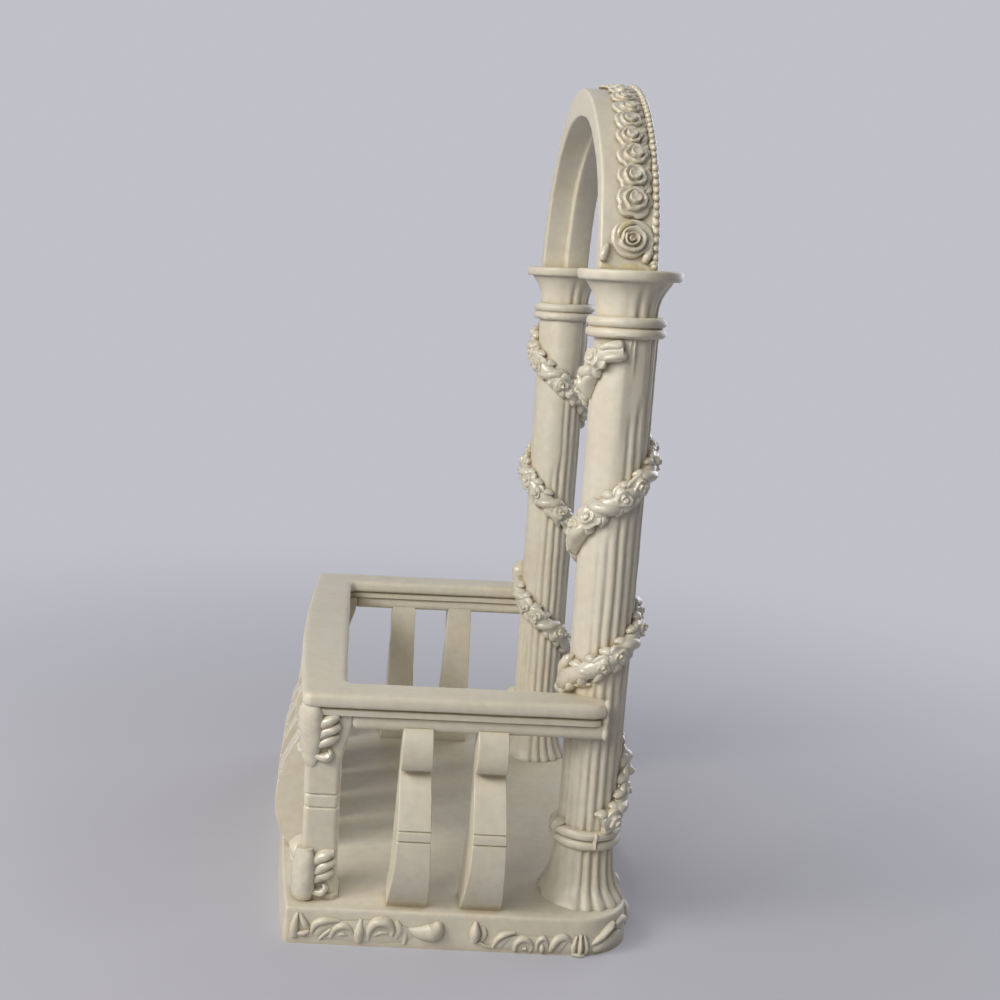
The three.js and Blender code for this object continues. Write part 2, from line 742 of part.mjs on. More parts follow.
// Roses over the arch: a large one over each spring, one on the crown, and a swag of close roses
// that fills each side between them.
function addRoses() {
  const seat = archRadius + seatGap;
  const spring = Math.asin((springZ - archCentreZ) / archRadius);
  const largeAngle = spring + (largeRoseLift + largeRoseRadius) / seat;
  const lowAngle = largeAngle + (largeRoseRadius + seatGap + roseRadius) / seat;
  const highAngle = quarterTurn - (2 * roseRadius + seatGap) / seat;
  const gaps = Math.round(((highAngle - lowAngle) * seat) / rosePitch);
  let swag = toSolid(makeBacking(lowAngle, highAngle));
  for (let i = 0; i <= gaps; i += 1) {
    const rose = roseOnArch(roseRadius, lowAngle + (highAngle - lowAngle) * (i / gaps));
    swag = swag.add(toSolid(rose));
  }
  const geometry = toGeometry(swag);
  const large = roseOnArch(largeRoseRadius, largeAngle);
  addPiece("rose_swag_left", mirrored(geometry));
  addPiece("rose_swag_right", geometry);
  addPiece("large_rose_left", mirrored(large));
  addPiece("large_rose_right", large);
  addPiece("top_rose", roseOnArch(roseRadius, quarterTurn));
}

// Bead edging along the front of the arch's outer face, as one slim half-round moulding.
function makeBeadEdging() {
  const seat = archRadius + seatGap;
  const edgeY = archCentreY - archWidth / 2 + beadRadius;
  const sectionShares = [[0, -1], [1.2, -0.8], [2, 0], [1.2, 0.8], [0, 1]];
  const rings = [];
  for (let step = 0; step <= archSegments; step += 1) {
    rings.push(sectionShares.map(([outShare, acrossShare]) => {
      const radius = seat + beadRadius * outShare;
      const start = Math.asin((springZ + seatGap - archCentreZ) / radius);
      const angle = start + (halfTurn - 2 * start) * (step / archSegments);
      return archPoint(radius, angle, edgeY + beadRadius * acrossShare);
    }));
  }
  return skin(rings, sectionShares.map(([outShare, acrossShare]) => new THREE.Vector2(outShare, acrossShare)));
}

addPiece("base_plinth", makeBase());
addColumns();
addPiece("arch_band", makeArchBand());
addPiece("bead_edging", makeBeadEdging());
addRails();
addSupports();
addLeaves();
addGarlands();
addRoses();

// The middle of the underside of the whole is the origin.
const reach = new THREE.Box3().setFromObject(arch);
arch.position.y = -(reach.min.y + reach.max.y) / 2;

export default arch;
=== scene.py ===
# Miniature arch of ivory cast resin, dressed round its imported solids. Metres, +Z up, roses facing -Y.
import random
from math import asin, atan2, cos, exp, hypot, pi, radians, sin, sqrt, tau

import bmesh
import bpy
from mathutils import Matrix, Vector, noise


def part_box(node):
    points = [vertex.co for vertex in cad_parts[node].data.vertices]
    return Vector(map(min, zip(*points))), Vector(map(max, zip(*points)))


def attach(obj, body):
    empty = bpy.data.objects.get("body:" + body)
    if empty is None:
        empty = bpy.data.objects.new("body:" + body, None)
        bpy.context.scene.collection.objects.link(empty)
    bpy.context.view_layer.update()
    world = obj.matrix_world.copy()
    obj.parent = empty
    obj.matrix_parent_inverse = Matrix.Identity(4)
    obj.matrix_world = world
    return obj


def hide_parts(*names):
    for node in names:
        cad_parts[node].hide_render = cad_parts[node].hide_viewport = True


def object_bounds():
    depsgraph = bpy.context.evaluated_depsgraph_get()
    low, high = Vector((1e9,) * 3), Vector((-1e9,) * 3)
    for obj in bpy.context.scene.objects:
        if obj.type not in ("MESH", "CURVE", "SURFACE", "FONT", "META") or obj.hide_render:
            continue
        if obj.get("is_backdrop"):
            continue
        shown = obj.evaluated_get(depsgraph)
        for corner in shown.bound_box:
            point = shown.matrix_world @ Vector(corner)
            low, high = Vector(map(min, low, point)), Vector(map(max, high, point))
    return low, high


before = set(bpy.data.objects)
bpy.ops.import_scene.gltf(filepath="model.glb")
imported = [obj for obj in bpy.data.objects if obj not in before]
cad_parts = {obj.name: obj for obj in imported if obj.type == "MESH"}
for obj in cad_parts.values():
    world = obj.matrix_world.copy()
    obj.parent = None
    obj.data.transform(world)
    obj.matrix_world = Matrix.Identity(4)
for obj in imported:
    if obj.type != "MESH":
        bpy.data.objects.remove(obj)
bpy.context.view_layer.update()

MM = 0.001

# Camera: it stands at the left-hand end and looks along the arch, a little down on the rail. The
# photograph's frame is cut from the right of a wider one, which a sideways shift of the lens gives.
CAMERA_PLACE = Vector((-329.4, 26.7, 154.9)) * MM
YAW = radians(-0.16)
PITCH = radians(10.63)
ROLL = radians(2.52)
scene = bpy.context.scene


def new_object(name, data):
    """Adds an object to the scene, at the origin."""
    thing = bpy.data.objects.new(name, data)
    scene.collection.objects.link(thing)
    return thing


lens = bpy.data.cameras.new("camera")
lens.sensor_width = 36
lens.lens = 45.83
lens.shift_x = 0.15
lens.clip_start = 0.01
camera = new_object("camera", lens)
heading, tilt = Matrix.Rotation(-pi / 2 - YAW, 4, "Z"), Matrix.Rotation(pi / 2 - PITCH, 4, "X")
camera.matrix_world = Matrix.Translation(CAMERA_PLACE) @ heading @ tilt @ Matrix.Rotation(ROLL, 4, "Z")
scene.camera = camera

# Studio: a wide sheet of pale paper under the arch. One soft lamp hangs on the balustrade's side,
# one on the camera's side, and a wide one keeps the side of the roses readable.
PAPER = "#C2C2CA"
BACKGROUND = "#C0C0C9"
FLOOR_REACH = 6.0
FADE_START = -0.1
FADE_END = 0.4


def linear(hex_colour):
    """Turns an sRGB hex colour into the linear one that shaders take."""
    shares = [int(hex_colour[i:i + 2], 16) / 255 for i in (1, 3, 5)]
    return [s / 12.92 if s <= 0.04045 else ((s + 0.055) / 1.055) ** 2.4 for s in shares] + [1]


def fit(tree, node, settings, links):
    """Gives a node its settings, by attribute or socket, and its links, by socket."""
    for key, value in settings.items():
        if isinstance(key, str) and hasattr(node, key):
            setattr(node, key, value)
        else:
            node.inputs[key].default_value = value
    for key, source in links.items():
        tree.links.new(source, node.inputs[key])
    return node.outputs


def add(tree, kind, settings=None, links=None):
    """Adds a shader node, fitted, and gives its outputs."""
    return fit(tree, tree.nodes.new("ShaderNode" + kind), settings or {}, links or {})


def backdrop_rays(tree):
    """Share of rays that see the plain backdrop: the camera's, and those of shine and glass."""
    rays = add(tree, "LightPath")
    share = rays["Is Camera Ray"]
    for kind in ("Is Glossy Ray", "Is Transmission Ray"):
        share = add(tree, "Math", {"operation": "MAXIMUM"}, {0: share, 1: rays[kind]})[0]
    return share


def soft_lamp(name, place, aim, size, watts, colour):
    """Hangs a square soft lamp that shines from its place to a point."""
    light = bpy.data.lights.new(name, "AREA")
    light.size = size
    light.energy = watts
    light.color = linear(colour)[:3]
    lamp = new_object(name, light)
    lamp.location = place
    lamp.rotation_euler = (Vector(aim) - Vector(place)).to_track_quat("-Z", "Y").to_euler()
    lamp.visible_camera = False


def mesh_of(name, form):
    """Turns a form into a mesh."""
    mesh = bpy.data.meshes.new(name)
    form.to_mesh(mesh)
    form.free()
    return mesh


paper_sheet = bmesh.new()
bmesh.ops.create_grid(paper_sheet, x_segments=1, y_segments=1, size=FLOOR_REACH)
floor = new_object("paper_floor", mesh_of("paper_floor", paper_sheet))
# Matt studio paper: a plain pale grey with no shine, that takes a soft shadow.
paper = bpy.data.materials.new("matt_studio_paper")
paper.use_nodes = True
sheet = paper.node_tree
matt = fit(sheet, sheet.nodes["Principled BSDF"],
           {"Base Color": linear(PAPER), "Roughness": 0.9, "Specular IOR Level": 0.1}, {})
# Far from the arch the paper shows the backdrop's own colour, as a sheet swept up behind would.
place = add(sheet, "TexCoord")["Object"]
reach = add(sheet, "VectorMath", {"operation": "LENGTH"}, {0: place})["Value"]
far = add(sheet, "MapRange", {"interpolation_type": "SMOOTHSTEP", 1: FADE_START, 2: FADE_END},
          {0: reach})[0]
share = add(sheet, "Math", {"operation": "MULTIPLY"},
            {0: far, 1: backdrop_rays(sheet)})[0]
glow = add(sheet, "Emission", {"Color": linear(BACKGROUND), "Strength": 1.0})[0]
swept = add(sheet, "MixShader", None, {0: share, 1: matt[0], 2: glow})
sheet.links.new(swept[0], sheet.nodes["Material Output"].inputs["Surface"])
floor.data.materials.append(paper)
floor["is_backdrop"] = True

world = bpy.data.worlds.new("pale_studio")
scene.world = world
world.use_nodes = True
sky = world.node_tree
ambient = add(sky, "Background", {"Color": linear("#E6EAF2"), "Strength": 0.07})
backdrop = add(sky, "Background", {"Color": linear(BACKGROUND), "Strength": 1.0})
mixed = add(sky, "MixShader", None,
            {0: backdrop_rays(sky), 1: ambient[0], 2: backdrop[0]})
sky.links.new(mixed[0], sky.nodes["World Output"].inputs["Surface"])

MIDDLE = (0, 0, 0.13)
soft_lamp("key_lamp", (-0.24, 0.42, 0.38), MIDDLE, 0.22, 1.85, "#FFFAF2")
soft_lamp("front_lamp", (-0.44, 0.28, 0.4), MIDDLE, 0.3, 1.3, "#FFFCF6")
soft_lamp("fill_lamp", (0.5, -0.6, 0.35), MIDDLE, 0.6, 2.8, "#F6F7FF")

scene.view_settings.view_transform = "Standard"

# Plinth: one poured slab with leaning sides and a worn upper edge. Its front corners are round,
# and its rear bows out under the balustrade.
PLINTH_ROUND = 13.8 * MM
PLINTH_BOW = 3.8 * MM
PLINTH_CUT = 1.2 * MM
PLINTH_LEVELS = [(0, 0), (6.2, 0.5), (7.5, 0.62), (8.05, 0.75), (8.4, 0.97), (8.6, 1.35)]
OUTLINE_STEP = 3 * MM
WELD = 0.002 * MM
NEAR = 0.01 * MM
# Every casting is ivory polyester resin poured in a silicone mould: a satin skin with faint pits and
# swirls, which lets a little light in. Its hollows get a painted ochre shade.
BODY_IVORY = "#DFD9C8"
WARM_IVORY = "#DACFB8"
# Painted shade: the darker ochre that hollows are mixed towards.
SHADE_OCHRE = "#AE9E7E"


def cast_resin(name, body, gloss_low, gloss_high, coat):
    """Makes one satin ivory resin, with its own body colour and range of roughness."""
    resin = bpy.data.materials.new(name)
    resin.use_nodes = True
    tree = resin.node_tree
    place = add(tree, "TexCoord")["Object"]
    # Swirls of the pour, about 12 mm across, a finer cloudiness of about 2 mm, soft waves of 4 mm in
    # the skin, and a fine grain of 0.5 mm, which is coarser than the real one to show.
    swirl, cloud, wave, grain = [
        add(tree, "TexNoise", {"Scale": 1 / (size * MM), "Detail": detail, "Distortion": bend},
            {"Vector": place})[0]
        for size, detail, bend in ((12, 3, 0.8), (2, 4, 0), (4, 2, 0), (0.5, 3, 0))]
    warmth = add(tree, "MapRange", {1: 0.38, 2: 0.7, 3: 0.0, 4: 0.55}, {0: swirl})[0]
    tinted = add(tree, "Mix", {"data_type": "RGBA", 6: linear(body), 7: linear(WARM_IVORY)},
                 {0: warmth})[2]
    pale = add(tree, "MapRange", {1: 0.3, 2: 0.7, 3: 0.94, 4: 1.03}, {0: cloud})[0]
    toned = add(tree, "Mix", {"data_type": "RGBA", "blend_type": "MULTIPLY", 0: 1.0},
                {6: tinted, 7: pale})[2]
    # Painted shade: hollows within about 2 mm, found by occlusion, are darkened towards ochre.
    hollow = add(tree, "AmbientOcclusion", {"samples": 6, "Distance": 2.2 * MM})["AO"]
    painted_shade = add(tree, "MapRange", {1: 0.85, 2: 0.25, 3: 0.0, 4: 0.75}, {0: hollow})[0]
    coloured = add(tree, "Mix", {"data_type": "RGBA", 7: linear(SHADE_OCHRE)}, {0: painted_shade, 6: toned})[2]
    shine = add(tree, "MapRange", {1: 0.3, 2: 0.7, 3: gloss_low, 4: gloss_high}, {0: cloud})[0]
    waved = add(tree, "Bump", {"Strength": 0.5, "Distance": 0.12 * MM}, {"Height": wave})[0]
    grained = add(tree, "Bump", {"Strength": 0.25, "Distance": 0.04 * MM},
                  {"Height": grain, "Normal": waved})[0]
    fit(tree, tree.nodes["Principled BSDF"], {
        "IOR": 1.52, "Subsurface Weight": 0.12, "Subsurface Radius": (1.0, 0.72, 0.45),
        "Subsurface Scale": 1.6 * MM, "Coat Weight": coat, "Coat Roughness": 0.6 * gloss_low,
    }, {"Base Color": coloured, "Roughness": shine, "Normal": grained})
    return resin


def flat_outline(corners):
    """Starts a form as one flat face through a few corners, facing up."""
    form = bmesh.new()
    face = form.faces.new([form.verts.new(corner) for corner in corners])
    face.normal_update()
    if face.normal.z < 0:
        bmesh.ops.reverse_faces(form, faces=[face])
    return form


def rectangle(low_x, high_x, low_y, high_y):
    """Starts a form as a flat rectangle."""
    return flat_outline([(low_x, low_y, 0), (high_x, low_y, 0), (high_x, high_y, 0), (low_x, high_y, 0)])


def round_corners(form, chosen, radius, segments):
    """Rounds the corners of a flat outline that a test picks."""
    picked = [vert for vert in form.verts if chosen(vert.co)]
    bmesh.ops.bevel(form, geom=picked, offset=radius, offset_type="OFFSET", affect="VERTICES",
                    segments=segments, profile=0.5, material=-1)


def bow_out(form, y, half_width, bow, cuts):
    """Divides the straight edge that lies at a y and bows it out."""
    straight = [e for e in form.edges if all(abs(v.co.y - y) < NEAR for v in e.verts)]
    bmesh.ops.subdivide_edges(form, edges=straight, cuts=cuts)
    for vert in form.verts:
        if abs(vert.co.y - y) < NEAR:
            vert.co.y += bow * (1 - (vert.co.x / half_width) ** 2)


def divide_long_edges(form, step):
    """Divides the long edges of an outline, so that they can waver like hand work."""
    for edge in list(form.edges):
        cuts = int(edge.calc_length() / step)
        if cuts > 0:
            bmesh.ops.subdivide_edges(form, edges=[edge], cuts=cuts)


def moulded(form, levels):
    """Raises a flat outline through levels of (height, inset) in millimetres and closes it below."""
    form.faces.ensure_lookup_table()
    top = form.faces[0]
    height_before, inset_before = levels[0][0], 0
    for height, inset in levels:
        bands = bmesh.ops.inset_region(
            form, faces=[top], thickness=(inset - inset_before) * MM,
            depth=(height - height_before) * MM, use_boundary=True, use_even_offset=True)["faces"]
        if height == levels[0][0]:
            bmesh.ops.delete(form, geom=bands, context="FACES")
        height_before, inset_before = height, inset
    rim = [edge for edge in form.edges if edge.is_boundary]
    bmesh.ops.holes_fill(form, edges=rim, sides=0)


# The waver of hand work starts from a set seed, so every run gives the same shapes.
noise.seed_set(1)


def hand_made(form, amount, size, upright=1.0):
    """Moves every point a little, as a hand-carved master has it, in waves of one size."""
    for vert in form.verts:
        drift = noise.noise_vector(vert.co / (size * MM)) * amount * MM
        vert.co += Vector((drift.x, drift.y, drift.z * upright))


def put(form, matrix):
    """Moves and turns a whole form."""
    bmesh.ops.transform(form, matrix=matrix, verts=form.verts)


def mirror(form):
    """Turns a form over, to the other end of the arch."""
    bmesh.ops.scale(form, vec=(-1, 1, 1), verts=form.verts)
    bmesh.ops.reverse_faces(form, faces=form.faces)


def other_side(form):
    """Copies a form to the other end of the arch."""
    twin = form.copy()
    mirror(twin)
    return twin


def cast(name, form, resin, slot, nodes=(), crease=38):
    """Turns a finished form into a piece of the casting, which stands for its CAD nodes."""
    bmesh.ops.remove_doubles(form, verts=form.verts, dist=WELD)
    bmesh.ops.recalc_face_normals(form, faces=form.faces)
    mesh = mesh_of(name, form)
    mesh.materials.append(resin)
    mesh.shade_smooth()
    mesh.set_sharp_from_angle(angle=radians(crease))
    piece = new_object(name, mesh)
    piece.modifiers.new("even_shading", "WEIGHTED_NORMAL").keep_sharp = True
    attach(piece, "root")
    if nodes:
        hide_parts(*nodes)
    return piece


SATIN = (0.36, 0.5)
# Ivory resin of the plinth: a dry satin, with painted ochre shade in the hollows of its relief.
PLINTH_LOOK = (cast_resin("cast_resin_plinth", BODY_IVORY, *SATIN, 0.05), "plinth_resin")
plinth_low, plinth_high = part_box("base_plinth")
rear_corner = plinth_high.y - PLINTH_BOW
plinth = rectangle(plinth_low.x, plinth_high.x, plinth_low.y, rear_corner)
bow_out(plinth, rear_corner, plinth_high.x, PLINTH_BOW, 36)
round_corners(plinth, lambda co: co.y < plinth_low.y + MM, PLINTH_ROUND, 20)
round_corners(plinth, lambda co: abs(co.x) > plinth_high.x - MM and co.y > 0, PLINTH_CUT, 3)
divide_long_edges(plinth, OUTLINE_STEP)
moulded(plinth, PLINTH_LEVELS)
hand_made(plinth, 0.14, 11, 0)
cast("plinth_slab", plinth, *PLINTH_LOOK, ["base_plinth"])

# Columns: each was turned in the master as a stack of members and is cast whole. Broad reeds run
# up the front of the shaft and all round its foot, and the rear of it is worn smooth.
COLUMN_STEPS = 160
SHAFT_ROWS = 60
REEDS = 20
BELL_REEDS = 16
REED_DEPTH = 0.62
FOOT_PROFILE = [
    (0, 10), (0.5, 9.9), (1.2, 9.5), (2, 9.05), (3.1, 8.5), (4.6, 8), (6.6, 7.55),
    (9, 7.25), (11.4, 7.08), (13.4, 7),
]
COLLAR_PROFILE = [
    (0, 7.2), (0.15, 7.9), (0.7, 8.38), (1.4, 8.42), (2, 8.1), (2.3, 7.5), (2.6, 8.1),
    (3.2, 8.4), (3.9, 8.36), (4.45, 7.9), (4.6, 7.2),
]
UPPER_COLLAR_PROFILE = [(height * 1.02, radius + 0.35) for height, radius in COLLAR_PROFILE]
BELL_PROFILE = [
    (0, 6.9), (1.4, 6.96), (2.8, 7.15), (4.2, 7.55), (5.4, 8.15), (6.5, 8.85), (7.2, 9.35), (7.7, 9.6),
]
ABACUS_PROFILE = [
    (0, 10.8), (0.15, 11.08), (0.5, 11.3), (1.1, 11.44), (1.8, 11.5), (2.1, 11.42), (2.32, 11.15),
    (2.4, 10.85),
]


def spun(rows, steps):
    """Spins a chain of (height, radius) in millimetres round the upright axis."""
    form = bmesh.new()
    chain = [form.verts.new((radius * MM, 0, height * MM)) for height, radius in rows]
    edges = [form.edges.new(pair) for pair in zip(chain, chain[1:])]
    bmesh.ops.spin(form, geom=chain + edges, cent=(0, 0, 0), axis=(0, 0, 1), angle=tau,
                   steps=steps, use_merge=True)
    bmesh.ops.remove_doubles(form, verts=form.verts, dist=WELD)
    return form


def soft_step(value, start, end):
    """Rises softly from 0 at start to 1 at end."""
    share = min(max((value - start) / (end - start), 0), 1)
    return share * share * (3 - 2 * share)


def reshaped(form, radius_at):
    """Sets how far each point of a turned form stands out, by its bearing, height and radius."""
    for vert in form.verts:
        radius = hypot(vert.co.x, vert.co.y)
        if radius < 3 * MM:
            continue
        bearing = atan2(vert.co.y, vert.co.x)
        drawn = radius_at(bearing, vert.co.z / MM, radius / MM) * MM
        vert.co.x *= drawn / radius
        vert.co.y *= drawn / radius


def groove(bearing, height, reeds):
    """Share of a groove's depth between broad reeds, which waver a little up the column."""
    waver = 0.035 * noise.noise(Vector((bearing * 2, 3.1, height / 24)))
    return ((1 - cos(reeds * (bearing + waver))) / 2) ** 1.6


def foot_radius(bearing, height, radius):
    """Foot: deep grooves that open towards the plinth, but for a worn stretch at the rear. It
    spreads a little to the outer side."""
    worn = soft_step(-sin(bearing), -0.42, -0.05)
    spread = 1.3 * max(cos(bearing), 0) * soft_step(4 - height, 0, 4)
    uneven = 0.45 * (1 - worn) * noise.noise(Vector((bearing * 4, 7.0, height / 5)))
    return radius + spread + uneven - REED_DEPTH * (0.15 + 1.15 * worn) * groove(bearing, height, REEDS)


def bell_radius(bearing, height, radius):
    """Bell: grooves that run out under the abacus and are worn away at the rear."""
    worn = soft_step(-sin(bearing), -0.25, 0.2)
    return radius - (0.08 + 0.5 * worn) * (1 - height / 12) * groove(bearing, height, BELL_REEDS)


def shaft_radius(bearing, height, radius):
    """Shaft: grooves by height and bearing, and a broad facet pared flat on the outer face."""
    forward = -sin(bearing)
    outward = cos(bearing) > 0
    edge = -1.4 + 0.75 * soft_step(height, 18, 34) + 0.6 * soft_step(height, 64, 76)
    edge += 0.45 * soft_step(height, shaft_length - 20, shaft_length - 12)
    kept = soft_step(forward, edge, edge + 0.4)
    chip = 0.75 + 0.5 * noise.noise(Vector((bearing * 3, 0, height / 9)))
    radius -= REED_DEPTH * max(kept, 0.05) * chip * groove(bearing, height, REEDS)
    radius -= PARED * soft_step(-forward, 0.1, 0.8)
    if outward and height > shaft_length - 30:
        facing = FACET_BEARING - bearing
        if abs(facing) < FACET_HALF:
            flat = radius * cos(FACET_HALF) / cos(facing)
            radius += (flat - radius) * 0.95 * soft_step(height, shaft_length - 30, shaft_length - 18)
        # A run of resin hangs down the facet from the collar.
        for bearing_at, drop, width in POUR_RUNS:
            run = exp(-((bearing - bearing_at) / width) ** 2)
            radius += 0.5 * run * soft_step(height, shaft_length - drop, shaft_length - drop + 4)
    return radius


PARED = 0.5
FACET_BEARING = radians(-10)
FACET_HALF = radians(18)
POUR_RUNS = [(-0.13, 8.0, 0.055), (0.0, 4.6, 0.04)]
shaft_low, shaft_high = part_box("column_shaft_right")
shaft_length = (shaft_high.z - shaft_low.z) / MM
shaft_profile = [
    (shaft_length * row / SHAFT_ROWS, 7.0 + 0.35 * row / SHAFT_ROWS) for row in range(SHAFT_ROWS + 1)
]
# Ivory resin of the columns: satin with a thin wax shine on the reeds.
COLUMN_LOOK = (cast_resin("cast_resin_column", BODY_IVORY, *SATIN, 0.08), "column_resin")
members = [
    ("column_foot", FOOT_PROFILE, foot_radius),
    ("lower_collar", COLLAR_PROFILE, None),
    ("column_shaft", shaft_profile, shaft_radius),
    ("upper_collar", UPPER_COLLAR_PROFILE, None),
    ("capital_bell", BELL_PROFILE, bell_radius),
    ("abacus", ABACUS_PROFILE, None),
]
for member, profile, radius_at in members:
    low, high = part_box(f"{member}_right")
    axis_at = Vector(((low.x + high.x) / 2, (low.y + high.y) / 2, low.z))
    form = spun([(profile[0][0], 0), *profile, (profile[-1][0], 0)], COLUMN_STEPS)
    if radius_at:
        reshaped(form, radius_at)
    put(form, Matrix.Translation(axis_at))
    for side, half in (("left", other_side(form)), ("right", form)):
        hand_made(half, 0.1, 9)
        hand_made(half, 0.06, 2.5)
        cast(f"{member}_{side}_cast", half, *COLUMN_LOOK, [f"{member}_{side}"])

# Arch band: a round hoop that stands on both abaci. A step runs round inside it, and from the
# step its inner face falls back to the front edge. It was cast on its own and glued on.
ARCH_RADIUS = 46.373
ARCH_CENTRE_Z = 151.627
ARCH_SECTION = [(0, -6.45), (0, 6.45), (-4.6, 6.45), (-4.6, 0.2), (-6.2, 0.2), (-5.9, -1.8),
                (-5.3, -3.8), (-4.75, -5.3), (-4.2, -6.45)]
ARCH_STEPS = 150
CROWN_SWELL = 1.0
BAND_HALF = 6.45
BAND_MIDDLE = 2.3
abacus_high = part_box("abacus_right")[1]
band_low, band_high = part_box("arch_band")
SPRING_Z = abacus_high.z
ARCH_Y = (band_low.y + band_high.y) / 2


def swell(angle):
    """Extra thickness of the hoop, outside and inside, which grows towards the crown."""
    return CROWN_SWELL * max(sin(angle), 0) ** 8


def arch_point(radius, angle, across=0):
    """Point at a radius and an angle on the arch, in millimetres, at a place across its width."""
    radius += swell(angle)
    return Vector((radius * MM * cos(angle), ARCH_Y + across * MM,
                   (ARCH_CENTRE_Z + radius * sin(angle)) * MM))


def cut_off(form, place, normal):
    """Cuts away what lies beyond a plane."""
    bmesh.ops.bisect_plane(form, geom=form.verts[:] + form.edges[:] + form.faces[:], dist=0.001 * MM,
                           plane_co=place, plane_no=normal, clear_outer=True)


band = bmesh.new()
section = [band.verts.new(arch_point(ARCH_RADIUS + rise, 0, across)) for rise, across in ARCH_SECTION]
band.faces.new(section)
divide_long_edges(band, 1.6 * MM)
corners = [vert for vert in band.verts if vert.calc_edge_angle(0) > 1]
bmesh.ops.bevel(band, geom=corners, offset=0.55 * MM, offset_type="OFFSET", affect="VERTICES",
                segments=3, profile=0.5, material=-1)
bmesh.ops.spin(band, geom=band.verts[:] + band.edges[:] + band.faces[:],
               cent=(0, ARCH_Y, ARCH_CENTRE_Z * MM), axis=(0, -1, 0), angle=pi, steps=ARCH_STEPS)
bmesh.ops.remove_doubles(band, verts=band.verts, dist=WELD)
for vert in band.verts:
    out = Vector((vert.co.x, 0, vert.co.z - ARCH_CENTRE_Z * MM))
    way = 1 if out.length > (ARCH_RADIUS - BAND_MIDDLE) * MM else -1
    vert.co += out.normalized() * swell(atan2(out.z, out.x)) * way * MM
cut_off(band, (0, 0, SPRING_Z), (0, 0, -1))
bmesh.ops.holes_fill(band, edges=[edge for edge in band.edges if edge.is_boundary], sides=0)
# Ivory resin of the arch: satin like the columns, from a pour of its own.
ARCH_LOOK = (cast_resin("cast_resin_arch", BODY_IVORY, *SATIN, 0.08), "arch_resin")
hand_made(band, 0.18, 13)
hand_made(band, 0.07, 3)
cast("arch_band_cast", band, *ARCH_LOOK, ["arch_band"])

# Corner posts: square, with worn edges, a low foot and two lines round the middle. They were part
# of the balustrade's master and are cast on the plinth.
POST_HALF = 4.2
POST_LEVELS = [
    (0, -0.5), (0.95, -0.5), (1.3, -0.32), (1.42, 0), (21.9, 0.02), (22.15, 0.2), (22.45, 0.42),
    (22.7, 0.16), (22.95, 0.08), (25.1, 0.08), (25.3, 0.2), (25.6, 0.42), (25.9, 0.16), (26.1, 0),
    (45.3, 0),
]
POST_EDGE = 1.35 * MM
BRACKET = 2.5 * MM
PLINTH_TOP = plinth_high.z
# Ivory resin of the balustrade: a dry satin, handled most, so with the least wax.
RAILING_LOOK = (cast_resin("cast_resin_balustrade", BODY_IVORY, *SATIN, 0.05), "balustrade_resin")
for side in ("left", "right"):
    low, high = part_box(f"rear_post_{side}")
    centre = (low + high) / 2
    post = rectangle(-POST_HALF * MM, POST_HALF * MM, -POST_HALF * MM, POST_HALF * MM)
    round_corners(post, lambda co: True, POST_EDGE, 4)
    divide_long_edges(post, 1.4 * MM)
    moulded(post, POST_LEVELS)
    bmesh.ops.subdivide_edges(
        post, edges=[e for e in post.edges if abs(e.verts[0].co.z - e.verts[1].co.z) > 5 * MM], cuts=9)
    # A small bracket grows from the front face and meets the moulding under the rail.
    for vert in post.verts:
        if vert.co.y < -3.2 * MM:
            vert.co.y -= BRACKET * soft_step(vert.co.z / MM, 31, 44) ** 1.5
    put(post, Matrix.Translation((centre.x, centre.y, PLINTH_TOP)))
    hand_made(post, 0.16, 8, 0.3)
    cast(f"corner_post_{side}", post, *RAILING_LOOK, [f"rear_post_{side}"])

# Console balusters: flat brackets with a roll under the rail, an undercut, and a body that swells
# outwards over two lines. Eight of them are cast between the plinth and the rail.
BALUSTER_HEIGHT = 42.7
BALUSTER_DEPTH = 7.6
HEAD_HALF = 3.45
FOOT_HALF = 4.2
CONSOLE_EDGE = 0.95 * MM
REAR_LEAN = 1.4
SPLAY = 1.3
CONSOLE = [
    (0, 0), (1.2, 0.5), (2.4, 1.4), (4, 2.4), (6, 3.1), (8.5, 3.8), (11, 4.15), (14, 4.25),
    (16.6, 4.1), (17.45, 3.95), (17.7, 3.5), (17.95, 3.9), (18.9, 3.9), (19.8, 3.7), (20.15, 3.25),
    (20.4, 3.6), (21.2, 3.35), (23, 2.65), (25, 1.75), (27, 0.75), (28.8, -0.35), (30.2, -1.5),
    (31, -2.4), (31.6, -3.1), (32.2, -3.2), (32.6, -2.4), (32.8, -1.3), (33.2, -0.55), (34, 0.15),
    (35.3, 0.6), (37, 0.75), (39, 0.6), (40.6, 0.1), (41.8, -0.7), (42.7, -1.7),
]


